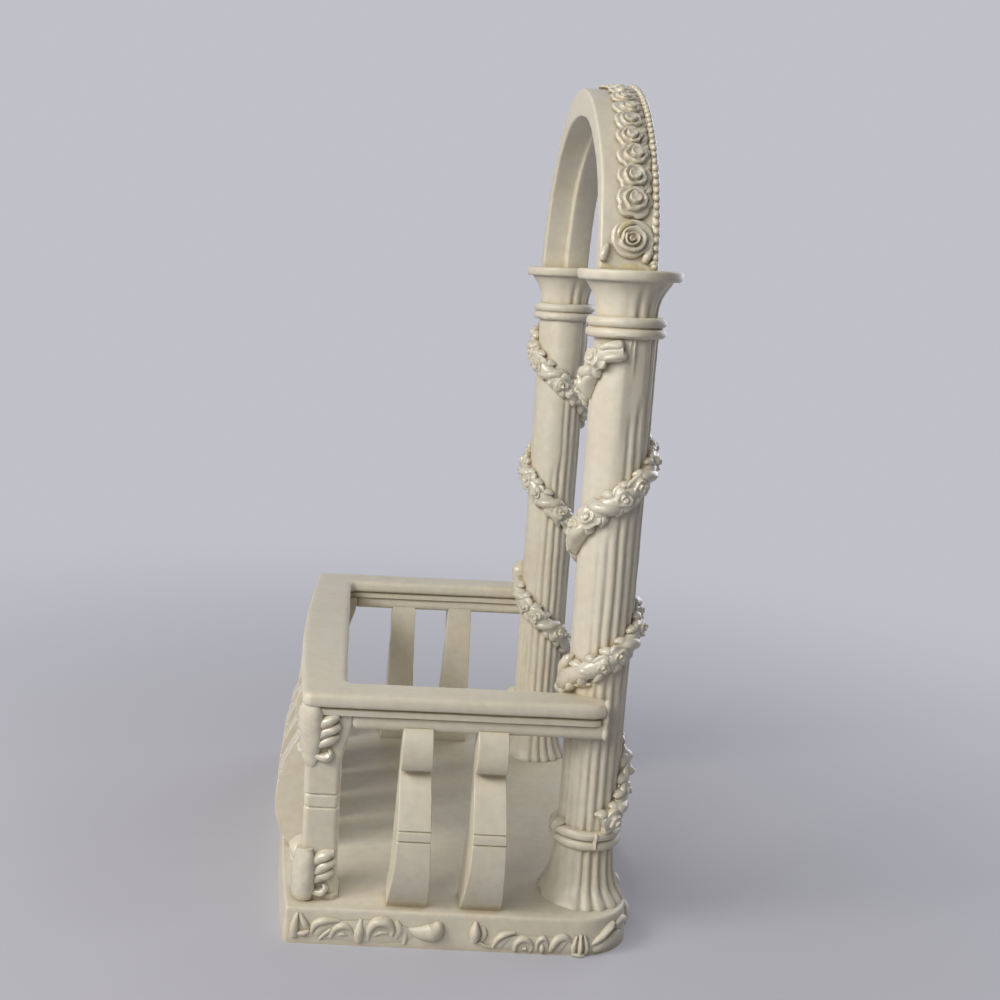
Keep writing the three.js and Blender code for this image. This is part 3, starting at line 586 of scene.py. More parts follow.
def baluster(lean):
    """Makes a console that faces +X. Zero is the outer face of the rail and the plinth's top."""
    front = [((out + lean * (1 - up / BALUSTER_HEIGHT)) * MM, up * MM) for up, out in CONSOLE]
    corners = [(-BALUSTER_DEPTH * MM, 0), *front, (-BALUSTER_DEPTH * MM, BALUSTER_HEIGHT * MM)]
    form = bmesh.new()
    near = form.faces.new([form.verts.new((x, -FOOT_HALF * MM, z)) for x, z in corners])
    far = bmesh.ops.extrude_face_region(form, geom=[near], use_keep_orig=True)["geom"]
    far_face = next(piece for piece in far if isinstance(piece, bmesh.types.BMFace))
    bmesh.ops.translate(form, vec=(0, 2 * FOOT_HALF * MM, 0), verts=far_face.verts[:])
    outline = [*near.edges, *far_face.edges]
    bmesh.ops.bevel(form, geom=outline, offset=CONSOLE_EDGE, offset_type="OFFSET", affect="EDGES",
                    segments=3, profile=0.5, material=-1, clamp_overlap=True)
    bmesh.ops.recalc_face_normals(form, faces=form.faces)
    for axis, length, cuts in ((1, 4, 4), (2, 20, 12)):
        long = [e for e in form.edges if abs((e.verts[0].co - e.verts[1].co)[axis]) > length * MM]
        bmesh.ops.subdivide_edges(form, edges=long, cuts=cuts)
    for vert in form.verts:
        share = vert.co.z / (BALUSTER_HEIGHT * MM)
        vert.co.y *= 1 + (HEAD_HALF / FOOT_HALF - 1) * share
    return form


def set_baluster(name, lean, x, y, turn, splay=0.0):
    """Stands a console on the plinth, turned outwards. Its rear edge splays at the plinth."""
    form = baluster(lean)
    put(form, Matrix.Translation((x, y, PLINTH_TOP)) @ Matrix.Rotation(turn, 4, "Z"))
    for vert in form.verts:
        if splay and vert.co.y > y + 2 * MM:
            vert.co.y += splay * MM * soft_step(14 - (vert.co.z - PLINTH_TOP) / MM, 0, 16)
    hand_made(form, 0.16, 7, 0.3)
    cast(f"{name}_cast", form, *RAILING_LOOK, [name])


for side, turn in (("left", pi), ("right", 0)):
    for number in (1, 2):
        low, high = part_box(f"side_baluster_{side}_{number}")
        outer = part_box(f"side_rail_{side}")
        x = outer[0].x if side == "left" else outer[1].x
        set_baluster(f"side_baluster_{side}_{number}", 0, x, (low.y + high.y) / 2, turn, SPLAY)

for number in (1, 2, 3, 4):
    low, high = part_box(f"rear_baluster_{number}")
    set_baluster(f"rear_baluster_{number}", REAR_LEAN, (low.x + high.x) / 2, low.y + BALUSTER_DEPTH * MM,
                 pi / 2)

# Handrail: a heavy rounded moulding over a groove and a flat band, in one U round three sides. Its
# ends die into the shafts.
RAIL_LEVELS = [
    (0, 1.1), (1.25, 1.05), (1.45, 1.25), (1.6, 1.6), (1.8, 1.6), (1.92, 0.8), (2.15, 0.35), (2.5, 0.08),
    (3.2, 0), (3.9, 0.02), (4.4, 0.12), (4.8, 0.35), (5.1, 0.75), (5.25, 1.2), (5.3, 1.9),
]
RAIL_REACH = 56.8 * MM
RAIL_WIDTH = 9.6 * MM
REAR_WIDTH = 9.85 * MM
RAIL_BOW = 2.1 * MM
SHAFT_HOLD = 5.6 * MM
RAIL_PAST = 1.3 * MM
TIP_ROUND = 3.2 * MM
CORNER_ROUND = 2.2 * MM
shaft_axis = (shaft_low + shaft_high) / 2
rail_low, rail_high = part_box("rear_rail")
rail_rear = rail_high.y - RAIL_BOW
rail_end = shaft_axis.y - RAIL_PAST


def rail_outline(inset):
    """Draws the U of the balustrade from above, with ends that reach into the shafts."""
    outer_x, inner_x = RAIL_REACH - inset, RAIL_REACH - RAIL_WIDTH + inset
    hold_x = shaft_axis.x + SHAFT_HOLD
    rise = sqrt(SHAFT_HOLD ** 2 - (inner_x - shaft_axis.x) ** 2)
    half = [
        (inner_x, rail_high.y - RAIL_BOW - REAR_WIDTH + inset),
        (inner_x, shaft_axis.y + rise),
        (hold_x, rail_end),
        (outer_x, rail_end),
        (outer_x, rail_rear - inset),
    ]
    form = flat_outline([(x, y, 0) for x, y in half] + [(-x, y, 0) for x, y in reversed(half)])
    bow_out(form, rail_rear - inset, outer_x, RAIL_BOW, 40)
    round_corners(form, lambda co: abs(co.x) > outer_x - MM and co.y < rail_end + MM,
                  TIP_ROUND - inset, 2)
    round_corners(form, lambda co: abs(co.x) > outer_x - MM and co.y > rail_rear - inset - MM,
                  CORNER_ROUND, 5)
    round_corners(form, lambda co: abs(abs(co.x) - inner_x) < NEAR and co.y > 0, 2 * MM, 5)
    divide_long_edges(form, 3 * MM)
    return form


rail = rail_outline(0)
moulded(rail, RAIL_LEVELS)
put(rail, Matrix.Translation((0, 0, rail_low.z)))
hand_made(rail, 0.16, 9, 0.25)
cast("handrail_cast", rail, *RAILING_LOOK,
     ["rear_rail", "side_rail_left", "side_rail_right"])

# Bed moulding: a narrower bar under the handrail, cut by the posts. Its side lengths start behind
# with a rounded end and die into the shafts like the rail.
BED_INSET = 1.9 * MM
BED_DROP = 0.9 * MM
BED_REAR_CUT = 1.9 * MM
BED_LEVELS = [(0, 0.9), (0.3, 0.45), (0.8, 0.1), (1.5, 0), (2.9, 0.03), (3.25, 0.3), (3.5, 0.35)]
bed_low, bed_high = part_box("side_under_rail_right")
bed = rail_outline(BED_INSET)
cut_off(bed, (0, bed_high.y - BED_REAR_CUT, 0), (0, 1, 0))
right_bed = [face for face in bed.faces if face.calc_center_median().x > 0]
bmesh.ops.delete(bed, geom=[face for face in bed.faces if face not in right_bed], context="FACES")
round_corners(bed, lambda co: co.y > bed_high.y - BED_REAR_CUT - NEAR, 1.1 * MM, 4)
post_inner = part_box("rear_under_rail")[1].x
rear_bed = rail_outline(BED_INSET)
for x, normal in ((post_inner, 1), (-post_inner, -1)):
    cut_off(rear_bed, (x, 0, 0), (normal, 0, 0))
for form in (bed, rear_bed):
    moulded(form, BED_LEVELS)
    put(form, Matrix.Translation((0, 0, bed_low.z - BED_DROP)))
for side, form, node in (("left", other_side(bed), "side_under_rail_left"),
                         ("right", bed, "side_under_rail_right"), ("rear", rear_bed, "rear_under_rail")):
    hand_made(form, 0.14, 9, 0.25)
    cast(f"bed_moulding_{side}", form, *RAILING_LOOK, [node])

# Acanthus leaves: one stands on each rear corner of a post at its foot and one under the rail,
# with a smooth body round the corner and lobes that curl over both faces. They were cast with it.


def strokes(*drawn):
    """Reads strokes drawn in tenths of a millimetre. Their rows are what strand() takes."""
    return [[[number / 10 for number in row] for row in stroke] for stroke in drawn]


LEAF_LOW, LEAF_HIGH = strokes(
    [(3, -9, 27, 20), (3, 16, 31, 25), (4, 56, 30, 24), (5, 90, 27, 20), (5, 113, 21, 12)],
    [(7, -19, 9, 3), (9, 6, 21, 9), (8, 42, 27, 16), (8, 80, 30, 20), (8, 114, 28, 20), (7, 135, 20, 13)])
LEAF_LOBES = strokes(
    [(22, 76, 12, 14), (40, 89, 15, 21), (58, 100, 14.5, 20), (74, 106, 9, 11)],
    [(22, 53, 11, 13), (40, 64, 14.5, 21), (60, 76, 14, 20), (77, 83, 8, 10)],
    [(22, 32, 10, 12), (39, 41, 13, 19), (57, 51, 12.5, 18), (73, 59, 7, 9)],
    [(20, 13, 9, 12), (31, 6, 11.5, 18), (46, 6, 12, 21), (55, 17, 9.5, 17), (50, 26, 5, 10)])


def eased(rows, divisions):
    """Fills in a smooth run through rows of numbers, with so many divisions between two rows."""
    rows = [Vector(row) for row in rows]
    run = []
    for i in range(len(rows) - 1):
        start, end = rows[i], rows[i + 1]
        before, after = rows[max(i - 1, 0)], rows[min(i + 2, len(rows) - 1)]
        for step in range(divisions):
            t = step / divisions
            bend = (2 * before - 5 * start + 4 * end - after) * t ** 2
            swing = (3 * start - before - 3 * end + after) * t ** 3
            run.append((2 * start + (end - before) * t + bend + swing) / 2)
    return run + [rows[-1]]


def join(group, form):
    """Adds a small form to a group of forms."""
    mesh = mesh_of("part", form)
    group.from_mesh(mesh)
    bpy.data.meshes.remove(mesh)


def strand(group, surface, path, divisions=3, sides=8):
    """Lays a soft tapering strand on a surface. Each row of its path has two places on the surface,
    a half width and a height, in millimetres."""
    rows = eased(path, divisions)
    spots = [surface(row[0], row[1]) for row in rows]
    ring_frames = []
    for i, (point, normal) in enumerate(spots):
        ahead = (spots[min(i + 1, len(spots) - 1)][0] - spots[max(i - 1, 0)][0]).normalized()
        across = normal.cross(ahead).normalized()
        half, rise = max(rows[i][2], 0.08) * MM, max(rows[i][3], 0.08) * MM
        turn = Matrix((across * half, normal * rise, ahead)).transposed().to_4x4()
        ring_frames.append(Matrix.Translation(point) @ turn)
    form = bmesh.new()
    rim = bmesh.ops.create_circle(form, cap_ends=True, segments=sides, radius=1, matrix=ring_frames[0])
    edges = list({edge for vert in rim["verts"] for edge in vert.link_edges if edge.is_boundary})
    for last, following in zip(ring_frames, ring_frames[1:]):
        added = bmesh.ops.extrude_edge_only(form, edges=edges)["geom"]
        verts = [item for item in added if isinstance(item, bmesh.types.BMVert)]
        edges = [item for item in added if isinstance(item, bmesh.types.BMEdge)]
        bmesh.ops.transform(form, matrix=following @ last.inverted(), verts=verts)
    bmesh.ops.edgeloop_fill(form, edges=edges)
    join(group, form)


def corner_surface(corner, x_side):
    """Surface of a post's two outer faces, unrolled from the corner. Across is over 0 on the side
    face and under 0 on the rear face."""
    def surface(across, up):
        height = corner.z + up * MM
        turn = pi / 4 * (1 - min(abs(across) / 1.6, 1))
        if across >= 0:
            point = Vector((corner.x, corner.y - across * MM, height))
            normal = Vector((cos(turn) * x_side, sin(turn), 0))
        else:
            point = Vector((corner.x + across * MM * x_side, corner.y, height))
            normal = Vector((sin(turn) * x_side, cos(turn), 0))
        return point, normal
    return surface


# Ivory resin of the ornaments: glossier than the rest, because their wax was polished.
GLOSSY = (0.2, 0.34)
TRIM_LOOK = (cast_resin("cast_resin_trim", BODY_IVORY, *GLOSSY, 0.45), "trim_resin")
LEAVES = [("low", LEAF_LOW, PLINTH_TOP + 1.2 * MM, 1.5),
          ("high", LEAF_HIGH, bed_low.z - 8.3 * MM, 1.15)]
LEAF_INSET = 0.75 * MM
for side, x_side in (("left", -1), ("right", 1)):
    low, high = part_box(f"rear_post_{side}")
    corner_x = low.x + LEAF_INSET if x_side < 0 else high.x - LEAF_INSET
    for level, leaf_body, foot_z, rear_relief in LEAVES:
        leaf = bmesh.new()
        surface = corner_surface(Vector((corner_x, high.y - LEAF_INSET, foot_z)), x_side)
        strand(leaf, surface, leaf_body, 4, 16)
        for lobe in LEAF_LOBES:
            for way, fuller in ((1, 1), (-1, rear_relief)):
                strand(leaf, surface, [(across * way, up, half, rise * fuller)
                                       for across, up, half, rise in lobe], 4, 10)
        hand_made(leaf, 0.3, 2.6)
        cast(f"corner_leaf_{level}_{side}", leaf, *TRIM_LOOK,
             [f"side_leaf_{level}_{side}", f"rear_leaf_{level}_{side}"], 60)

# Roses: each was modelled in rounds of petals with thick turned-out rims round a bud. A large one
# sits over each abacus, and a row of smaller ones runs over the arch between them.
SWAG_ROUNDS = [(1.0, 5), (0.66, 4), (0.34, 2)]
COILED_ROUNDS = [(1.0, 2), (0.64, 1), (0.36, 1), (0.14, 1)]
RING_KINDS = [("valley", 0.0, -0.44), ("wall", 0.03, -0.16), ("rim", 0.0, 0.0), ("lip", -0.075, 0.07),
              ("inside", -0.15, 0.0)]
BUD_RISE = 0.76


def rose(radius, height, steps, turn, rounds, swirl=0.12, dent=0.14, depth=1.0):
    """Makes one rose that faces up, on a closed foot. Its rings are spun flat and then shaped."""
    rings = [("foot", 0, -0.2, -0.3), ("foot", 0, -0.03, -0.02)]
    for j in range(len(rounds)):
        rings += [(kind, j, out, rise) for kind, out, rise in RING_KINDS]
    form = spun([(-1, 0), *((0, len(rings) - k) for k in range(len(rings))), (1, 0)], steps)
    for vert in form.verts:
        span = hypot(vert.co.x, vert.co.y) / MM
        if span < 0.5:
            rise = -0.3 if vert.co.z < 0 else BUD_RISE
            vert.co = Vector((0, 0, rise * height)) * MM
            continue
        kind, j, out, rise = rings[len(rings) - round(span)]
        bearing = atan2(vert.co.y, vert.co.x)
        base, petals = rounds[j]
        share = (petals * (bearing / tau + 0.29 * j) + turn * (j + 1)) % 1
        scallop = sin(pi * share) ** 0.6
        reach = base * (1 - dent + dent * scallop + swirl * (share - 0.5)) + out * (0.3 + 0.7 * base)
        if kind != "foot":
            rise *= depth
            dome = 0.36 + 0.62 * (1 - min(base, 1) ** 2)
            rise += dome + 0.5 * swirl * (share - 0.5)
        shift = 0.05 * j
        vert.co = Vector((cos(bearing) * reach * radius - shift * radius,
                          sin(bearing) * reach * radius, rise * height)) * MM
    return form


def facing(point, normal, along):
    """Frame that stands at a point, faces along a normal and is turned along a direction."""
    across = normal.cross(along).normalized()
    return Matrix.Translation(point) @ Matrix((across.cross(normal), across, normal)).transposed().to_4x4()


def on_arch(rise):
    """Surface over the outside of the arch, by millimetres along it from the right spring and
    across it from the front edge."""
    def surface(along, across):
        angle = SPRING_ANGLE + along / ARCH_RADIUS
        normal = Vector((cos(angle), 0, sin(angle)))
        return arch_point(ARCH_RADIUS + rise, angle, across - BAND_HALF), normal
    return surface


SPRING_ANGLE = asin((SPRING_Z / MM - ARCH_CENTRE_Z) / ARCH_RADIUS)
ROSE_GAPS = 8
LARGE_RADIUS = 4.5
LARGE_TURN = radians(60)
LARGE_LEAVES = strokes(
    [(16, 123, 6, 7), (29, 122, 10, 13), (45, 116, 8, 10), (56, 112, 3, 4)],
    [(14, 33, 6, 8), (27, 28, 11, 19), (41, 22, 9, 15), (52, 17, 3, 5)],
    [(6, 14, 5, 7), (15, 12, 9, 16), (25, 11, 4, 6)])
SMALL_RADIUS = 4.05
SPRING_CLEAR = 2.3
LARGE_REACH = 4.3
SMALL_REACH = 3.8
REACH_GAP = 0.3
EDGING_WIDTH = 1.9
ROSE_SEAT = 0.1
dice = random.Random(4)


def softened(form, passes):
    """Rounds off a form, as an old mould does."""
    for _ in range(passes):
        bmesh.ops.smooth_vert(form, verts=form.verts, factor=0.5, use_axis_x=True, use_axis_y=True,
                              use_axis_z=True)


def arch_rose(radius, height, along, across, tilt, turn=None, rounds=SWAG_ROUNDS, **kind):
    """Sets a detailed rose on the arch, leaning a little to the front."""
    point, normal = on_arch(ROSE_SEAT)(along, across)
    tangent = Vector((-normal.z, 0, normal.x))
    lean = (normal + Vector((0, -tilt, 0))).normalized()
    form = rose(radius, height, 40, dice.random(), rounds, **kind)
    softened(form, 1)
    bearing = dice.random() * tau if turn is None else turn
    spot = facing(point, lean, tangent) @ Matrix.Rotation(bearing, 4, "Z")
    put(form, spot)
    return form


half_round = ARCH_RADIUS * (pi / 2 - SPRING_ANGLE)
large_along = SPRING_CLEAR + LARGE_REACH
first_along = large_along + LARGE_REACH + REACH_GAP + SMALL_REACH
last_along = half_round - 2 * SMALL_REACH - REACH_GAP
rose_across = EDGING_WIDTH + SMALL_REACH
for side in ("right", "left"):
    large = arch_rose(LARGE_RADIUS, 2.9, large_along, rose_across + 0.4, 0.08, LARGE_TURN,
                      rounds=COILED_ROUNDS, dent=0.06, swirl=0.24)
    for lump in LARGE_LEAVES:
        strand(large, on_arch(ROSE_SEAT), lump)
    swag = bmesh.new()
    for i in range(ROSE_GAPS + 1):
        along = first_along + (last_along - first_along) * i / ROSE_GAPS
        size = SMALL_RADIUS * (1 - 0.02 * i) * dice.uniform(0.96, 1.04)
        forward = 1.1 * (i / ROSE_GAPS) ** 2
        # They lose relief towards the crown.
        height = 2.6 * (1 - 0.5 * (i / ROSE_GAPS) ** 1.5)
        join(swag, arch_rose(size, height, along, rose_across - forward + dice.uniform(-0.2, 0.2), 0.12))
        # Small leaves fill the gap between the roses and the beads.
        for shift in (0.0, 0.5):
            start = along + (shift - 0.25) * (last_along - first_along) / ROSE_GAPS
            strand(swag, on_arch(ROSE_SEAT), [
                (start, 3.6, 0.5, 0.7), (start + 1.2, 2.6, 0.8, 1.0), (start + 2.6, 2.1, 0.25, 0.5)], 3, 6)
    for name, form in (("large_rose", large), ("rose_swag", swag)):
        if side == "left":
            mirror(form)
        hand_made(form, 0.2, 1.8)
        cast(f"{name}_{side}_cast", form, *TRIM_LOOK, [f"{name}_{side}"], 75)
crown = arch_rose(SMALL_RADIUS * 0.95, 1.2, half_round, rose_across - 1.1, 0.16)
hand_made(crown, 0.12, 1.8)
cast("crown_rose_cast", crown, *TRIM_LOOK, ["top_rose"], 75)

# Bead edging: a string of round beads along the front edge of the arch, on a thin strip.
BEAD_RADIUS = 0.82
BEAD_PITCH = 1.9
BEAD_RISE = 0.55
BEAD_ACROSS = 0.95
edging = bmesh.new()
whole_round = 2 * half_round
beads = round((whole_round - 1.2) / BEAD_PITCH)
for i in range(beads + 1):
    along = 0.9 + (whole_round - 1.8) * i / beads
    point, normal = on_arch(BEAD_RISE)(along, BEAD_ACROSS)
    bead = bmesh.new()
    bmesh.ops.create_uvsphere(bead, u_segments=10, v_segments=7,
                              radius=BEAD_RADIUS * dice.uniform(0.92, 1.08) * MM)
    put(bead, facing(point, normal, Vector((-normal.z, 0, normal.x))))
    join(edging, bead)
strip = [(0.4 + (whole_round - 0.8) * i / 60, BEAD_ACROSS, 0.85, 0.55) for i in range(61)]
strand(edging, on_arch(0), strip, 1)
hand_made(edging, 0.1, 1.8)
cast("bead_edging_cast", edging, *TRIM_LOOK, ["bead_edging"], 60)

# Garlands: a thick cord of half-open roses and leaves, pressed from soft paste, is laid three times
# round each shaft, rests on the handrail, and ends over the lower collar.
SHAFT_SEAT = 7.45
GARLAND_PITCH = 4.1
GARLAND_ROUTE = [
    (0.035, 138.5), (0.12, 137.4), (0.19, 134.8), (0.26, 131.2), (0.75, 114.2), (1.25, 96.4), (1.75, 76.5),
    (2.02, 67.3), (2.2, 62.3), (2.68, 44.5), (2.75, 40), (2.79, 35.5), (2.85, 31.2), (2.95, 29),
]
FOLDED_START = strokes(
    [(-8, -12, 3, 5), (-4, -12, 9, 13), (4, -12, 12, 20), (30, -11, 12.5, 23), (44, -10, 10, 16)],
    [(-7, 11, 3, 5), (-3, 11, 9, 14), (4, 11, 12, 21), (29, 12, 12.5, 24), (43, 12, 10, 16)])
TWIST, SIDE_LEAF = strokes(
    [(-26, -19, 8, 11), (-11, -10, 16, 25), (7, 4, 17.5, 29), (22, 16, 14, 22), (30, 23, 6, 9)],
    [(-2, 10, 10, 13), (9, 21, 12, 16), (22, 29, 4, 6)])
SOFT_ROUNDS = [(1.0, 4), (0.6, 3), (0.26, 2)]
# Leaves that hang from the cord behind the shaft, in millimetres round the shaft and height.
HANGING_LEAVES = strokes(
    [(79, 1334, 3, 8), (85, 1325, 11, 18), (99, 1304, 13, 23), (102, 1282, 8, 14), (103, 1272, 2, 4)],
    [(60, 1002, 4, 9), (67, 992, 13, 18), (86, 970, 20, 28), (102, 946, 16, 26), (109, 924, 8, 15),
     (111, 914, 2, 4)],
    [(88, 680, 4, 7), (93, 670, 12, 16), (104, 652, 15, 23), (112, 624, 9, 18), (126, 609, 4, 10)])
# Lumps left by the pour, on the lower collar and down the rail's end.
COLLAR_LUMPS = strokes(
    [(-11, 226, 3, 13), (-11, 230, 7.5, 17), (-11, 259, 7.5, 17.5), (-11, 266, 3, 13)],
    [(79, 276, 9, 16), (87, 263, 12, 23), (91, 246, 10, 20), (93, 232, 5, 15)])
END_RUN, = strokes(
    [(3, 602, 3, 4), (1, 586, 5.5, 9), (-2, 568, 4.5, 7), (0, 552, 6, 9.5), (-2, 534, 4.5, 7),
     (1, 518, 5, 8), (1, 506, 2, 3)])


def on_shaft(turn, height):
    """Surface round the right shaft, by millimetres round it and height."""
    bearing = turn / SHAFT_SEAT
    normal = Vector((cos(bearing), sin(bearing), 0))
    point = normal * SHAFT_SEAT * MM + Vector((shaft_axis.x, shaft_axis.y, height * MM))
    return point, normal


def sunk(turn, height):
    """Surface a little under the shaft's skin, so that a low lump is rooted in its grooves."""
    point, normal = on_shaft(turn, height)
    return point - normal * 0.4 * MM, normal


def rail_tip(aside, height):
    """Surface down the corner between the rail's end and its outer face."""
    normal = Vector((0.6, -0.8, 0))
    place = Vector((RAIL_REACH - TIP_ROUND * 0.62 + aside * MM, rail_end + 0.6 * MM, height * MM))
    return place, normal


route = [Vector((turn * tau * SHAFT_SEAT, height)) for turn, height in eased(GARLAND_ROUTE, 30)]
reach_along = [0.0]
for here, following in zip(route, route[1:]):
    reach_along.append(reach_along[-1] + (following - here).length)


def along_route(length):
    """Place on the garland's route and its direction, at a length from its start."""
    i = next((k for k, reach in enumerate(reach_along[1:]) if reach >= length), len(route) - 2)
    share = (length - reach_along[i]) / (reach_along[i + 1] - reach_along[i])
    return route[i].lerp(route[i + 1], share), (route[i + 1] - route[i]).normalized()


def garland_strand(group, start, rows, divisions=3, sides=8):
    """Lays a strand along the garland from a length of it, with rows of (ahead, aside, half width,
    height)."""
    path = []
    for ahead, aside, half, rise in rows:
        place, heading = along_route(start + ahead)
        spot = place + Vector((-heading.y, heading.x)) * aside
        path.append((spot.x, spot.y, half, rise))
    strand(group, on_shaft, path, divisions, sides)


def fullness(middle):
    """Share of its full size that the garland has at a length: less where it rests on the rail."""
    height = along_route(middle)[0].y
    return 1 - 0.28 * soft_step(height, 57, 61) * soft_step(69 - height, 0, 4)


def pressed_rose(middle):
    """Makes one soft, half-open rose on the garland."""
    place, ahead = along_route(middle)
    point, normal = on_shaft(*place)
    tangent = Vector((-normal.y * ahead.x, normal.x * ahead.x, ahead.y))
    size = fullness(middle)
    flower = rose(size * dice.uniform(2.9, 3.4), size * dice.uniform(2.7, 3.1), 24, dice.random(),
                  SOFT_ROUNDS, 0.3, 0.2, 0.5)
    softened(flower, 2)
    lean = (normal + 0.3 * Vector((0, 0, dice.uniform(-1, 1)))).normalized()
    spot = facing(point, lean, tangent) @ Matrix.Rotation(dice.random() * tau, 4, "Z")
    put(flower, spot)
    return flower


garland_length = reach_along[-1]
lumps = round(garland_length / GARLAND_PITCH)
for side in ("right", "left"):
    garland = bmesh.new()
    stem = [(garland_length * i / (lumps * 3), 0, 2.2, 2.0) for i in range(lumps * 3 + 1)]
    garland_strand(garland, 0, stem, 1, 10)
    for fold in FOLDED_START:
        garland_strand(garland, 0, fold, 4, 12)
    for i in range(1, lumps):
        middle = GARLAND_PITCH * (i + 0.55)
        if i % 3 == 2:
            size = fullness(middle)
            twist = [(u, v * size, half * size, rise * size * dice.uniform(0.85, 1.0))
                     for u, v, half, rise in TWIST]
            garland_strand(garland, middle, twist, 4, 12)
        else:
            join(garland, pressed_rose(middle))
        for way in (1, -1):
            garland_strand(garland, middle + 1.2,
                           [(u, v * way, half, rise) for u, v, half, rise in SIDE_LEAF])
    for leaf in HANGING_LEAVES:
        strand(garland, on_shaft, leaf, 4, 12)
    for lump in COLLAR_LUMPS:
        strand(garland, sunk, lump, 4, 12)
    strand(garland, rail_tip, END_RUN, 4, 10)
    if side == "left":
        mirror(garland)
    hand_made(garland, 0.3, 2.4)
    cast(f"garland_{side}_cast", garland, *TRIM_LOOK, [f"garland_{side}"], 60)

# Glue: the arch and the garlands were stuck on with clear glue. A thin film of it squeezed out of
# the seams, and some ran into the rounds of the large roses, and it has yellowed.
GLUE_ON_ARCH, GLUE_ON_SHAFT = strokes(
    [(1.5, 127.5, 3, 1), (4.5, 116, 7.5, 2), (3.5, 104, 6, 1.6), (1.5, 90, 3, 1.2), (4, 74, 7, 1.8),
     (5.5, 56, 9.5, 2.2), (3, 42, 5, 1.4), (2, 29, 3, 1)],
    [(84, 612, 4, 3), (66, 616, 6, 4.5), (46, 620, 5.5, 4), (28, 624, 3, 2)])
GLUE_IN_ROSE = [(-4, 3.2, 0.3, 0.3), (14, 3.25, 0.55, 0.7), (34, 3.3, 0.75, 0.85), (58, 3.3, 0.8, 0.85),
                (80, 3.25, 0.65, 0.75), (98, 3.2, 0.3, 0.4)]
# Yellowed clear glue: a smooth amber film.
glue = cast_resin("yellowed_clear_glue", "#D3C89C", *GLOSSY, 0.5)
for side in ("right", "left"):
    film = bmesh.new()
    strand(film, on_arch(0), GLUE_ON_ARCH, 4, 10)
    strand(film, on_shaft, GLUE_ON_SHAFT, 4, 10)
    strand(film, on_arch(1.0), [
        (large_along + out * sin(radians(bearing)),
         rose_across + 0.4 + out * cos(radians(bearing)), half, rise)
        for bearing, out, half, rise in GLUE_IN_ROSE], 4, 10)
    if side == "left":
        mirror(film)
    cast(f"glue_film_{side}", film, glue, "trim_resin", (), 60)

# Relief on the plinth: a low carved frieze of scrolls and leaves runs round the two sides, over the
# front corners and along the front. It is modelled on the slab and cast with it.
CARVED_GROUND = strokes(
    [(44, 26, 10, 2), (120, 32, 26, 4.5), (200, 34, 30, 5), (270, 32, 20, 3.5), (290, 36, 8, 2)],
    [(465, 18, 8, 2), (520, 22, 20, 4.5), (580, 22, 22, 4.5), (640, 22, 18, 3.5), (700, 22, 18, 3.5),
     (760, 26, 20, 4), (810, 30, 8, 2)])
REAR_LEAF = strokes(
    [(15, 16, 9, 6), (15, 40, 10.5, 11), (22, 74, 4, 5)],
    [(49, 36, 6, 6), (38, 50, 8.5, 10), (28, 73, 4, 5)], [(22, 25, 6, 6), (37, 26, 7, 9), (52, 33, 4, 5)])
SCROLLS = strokes(
    [(55, 27, 5, 5), (62, 46, 9, 9), (80, 57, 9.5, 12), (102, 59, 7, 9), (120, 57, 3, 4)],
    [(66, 22, 8, 4), (82, 40, 13, 6), (104, 49, 8, 5)], [(73, 13, 4, 4), (86, 26, 5, 8), (100, 39, 5, 8)],
    [(99, 20, 6, 6), (107, 38, 8, 10), (125, 49, 8.5, 13), (142, 44, 7, 10), (150, 30, 4, 6)],
    [(116, 25, 4, 5), (126, 29, 5.5, 9), (138, 26, 4.5, 6)],
    [(165, 11, 9, 6), (164, 36, 13.5, 14), (169, 65, 4, 5)],
    [(186, 17, 6, 5), (189, 42, 10, 11), (204, 60, 11.5, 16), (226, 61, 11.5, 16), (241, 46, 9, 12),
     (240, 29, 5, 7)], [(200, 27, 4.5, 6), (214, 36, 6.5, 9), (229, 36, 5, 8)],
    [(249, 22, 8, 4), (255, 44, 13, 7), (250, 64, 5, 4)],
    [(269, 10, 5, 3), (272, 30, 7, 4.5), (266, 52, 4, 3)],
    [(277, 47, 4, 3), (296, 40, 13, 9), (318, 39, 20, 16), (335, 43, 23, 20), (345, 54, 17, 18),
     (349, 67, 7, 9)], [(431, 22, 7, 7), (431, 42, 13, 15), (432, 60, 9, 13), (433, 71, 3, 5)],
    [(449, 26, 5, 3), (454, 42, 8, 5), (449, 60, 4, 3)],
    [(440, 23, 5, 5), (456, 14, 3.5, 5), (472, 12, 2, 3)],
    [(473, 11, 4, 5), (483, 32, 6.5, 10), (500, 45, 7.5, 11), (524, 49, 3.5, 5)],
    [(489, 15, 8, 4), (502, 29, 11, 5), (517, 35, 6, 4)],
    [(524, 7, 5.5, 6), (526, 24, 7.5, 10), (539, 36, 8, 13), (556, 33, 7.5, 11), (564, 18, 5, 7),
     (558, 6, 3.5, 5)], [(541, 12, 4.5, 7), (550, 14, 5, 9)],
    [(574, 10, 4.5, 5), (576, 30, 6, 9), (587, 41, 6, 11), (597, 32, 5, 8), (598, 16, 3.5, 5)],
    [(587, 4, 5, 6), (586, 16, 6.5, 12), (587, 27, 3.5, 6)],
    [(606, 7, 5, 5), (610, 22, 9, 12), (622, 38, 10, 12), (638, 43, 9, 10), (650, 34, 5, 6)],
    [(623, 10, 6, 4), (634, 24, 9, 6), (646, 36, 4, 4)])
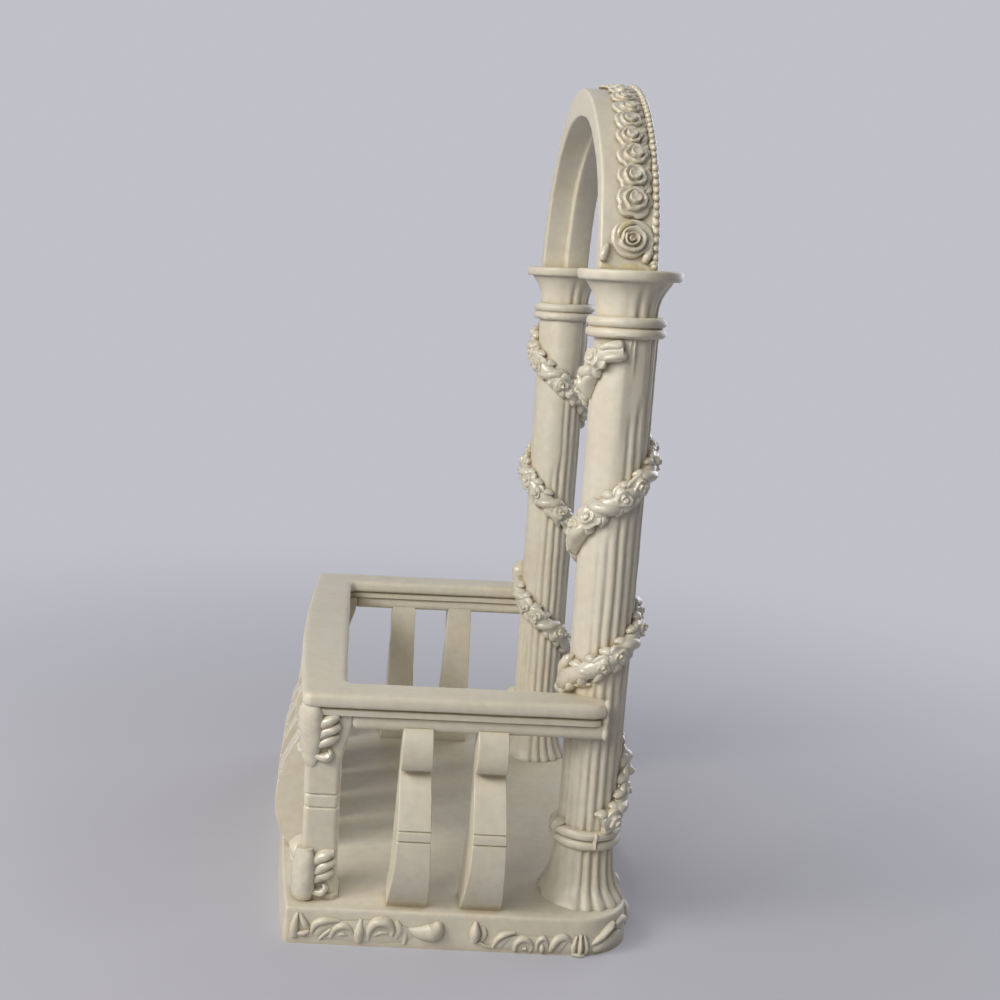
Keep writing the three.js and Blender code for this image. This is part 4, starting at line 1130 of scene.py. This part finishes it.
FRONT_CORNER = strokes(
    [(660, 5, 5.5, 7), (659, 24, 6.5, 11), (665, 47, 3, 6)],
    [(673, 4, 6, 9), (674, 26, 7, 14), (675, 52, 3.5, 7)],
    [(688, 6, 5, 7), (689, 26, 6.5, 11), (684, 49, 3, 6)],
    [(655, 5, 5, 8), (671, 4.5, 5, 13), (686, 5, 4, 7)],
    [(699, 23, 4, 4), (712, 34, 6, 9), (731, 46, 8, 13), (750, 62, 8, 15), (764, 68, 5, 9)],
    [(705, 11, 7, 5), (730, 21, 12, 9), (760, 32, 14, 12), (786, 39, 8, 8)],
    [(776, 56, 4, 5), (792, 64, 8, 10), (814, 60, 9, 11), (832, 42, 5, 6)])
SIDE_LENGTH = (rear_corner - PLINTH_CUT - plinth_low.y - PLINTH_ROUND) / MM
ROUND_LENGTH = PLINTH_ROUND / MM * pi / 2


def plinth_wall(x_side):
    """Surface of the plinth's wall, by millimetres from the rear corner and height."""
    def surface(along, up):
        lean = (0.5 / 6.2) * up * MM
        if along < SIDE_LENGTH:
            point = Vector((x_side * (plinth_high.x - lean), rear_corner - PLINTH_CUT - along * MM, up * MM))
            return point, Vector((x_side, 0, 0))
        turn = min((along - SIDE_LENGTH) / (PLINTH_ROUND / MM), pi / 2)
        past = max(along - SIDE_LENGTH - ROUND_LENGTH, 0) * MM
        normal = Vector((x_side * cos(turn), -sin(turn), 0))
        centre = Vector((x_side * (plinth_high.x - PLINTH_ROUND), plinth_low.y + PLINTH_ROUND, up * MM))
        return centre + normal * (PLINTH_ROUND - lean) - Vector((x_side * past, 0, 0)), normal
    return surface


FRONT_REPEAT = 80.0
FRONT_RUN = 11
for side, x_side in (("left", -1), ("right", 1)):
    relief = bmesh.new()
    wall = plinth_wall(x_side)
    for stroke in CARVED_GROUND + REAR_LEAF + SCROLLS + FRONT_CORNER:
        strand(relief, wall, stroke, 4, 10)
    # Along the front the scrolls come again, up to the middle.
    for stroke in SCROLLS[:FRONT_RUN]:
        strand(relief, wall, [(u + FRONT_REPEAT, v, half, rise) for u, v, half, rise in stroke], 3, 10)
    hand_made(relief, 0.12, 2.4)
    cast(f"plinth_relief_{side}", relief, *PLINTH_LOOK, (), 60)

# Sizes: the box round the dressed scene, without the floor, in metres.
low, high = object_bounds()
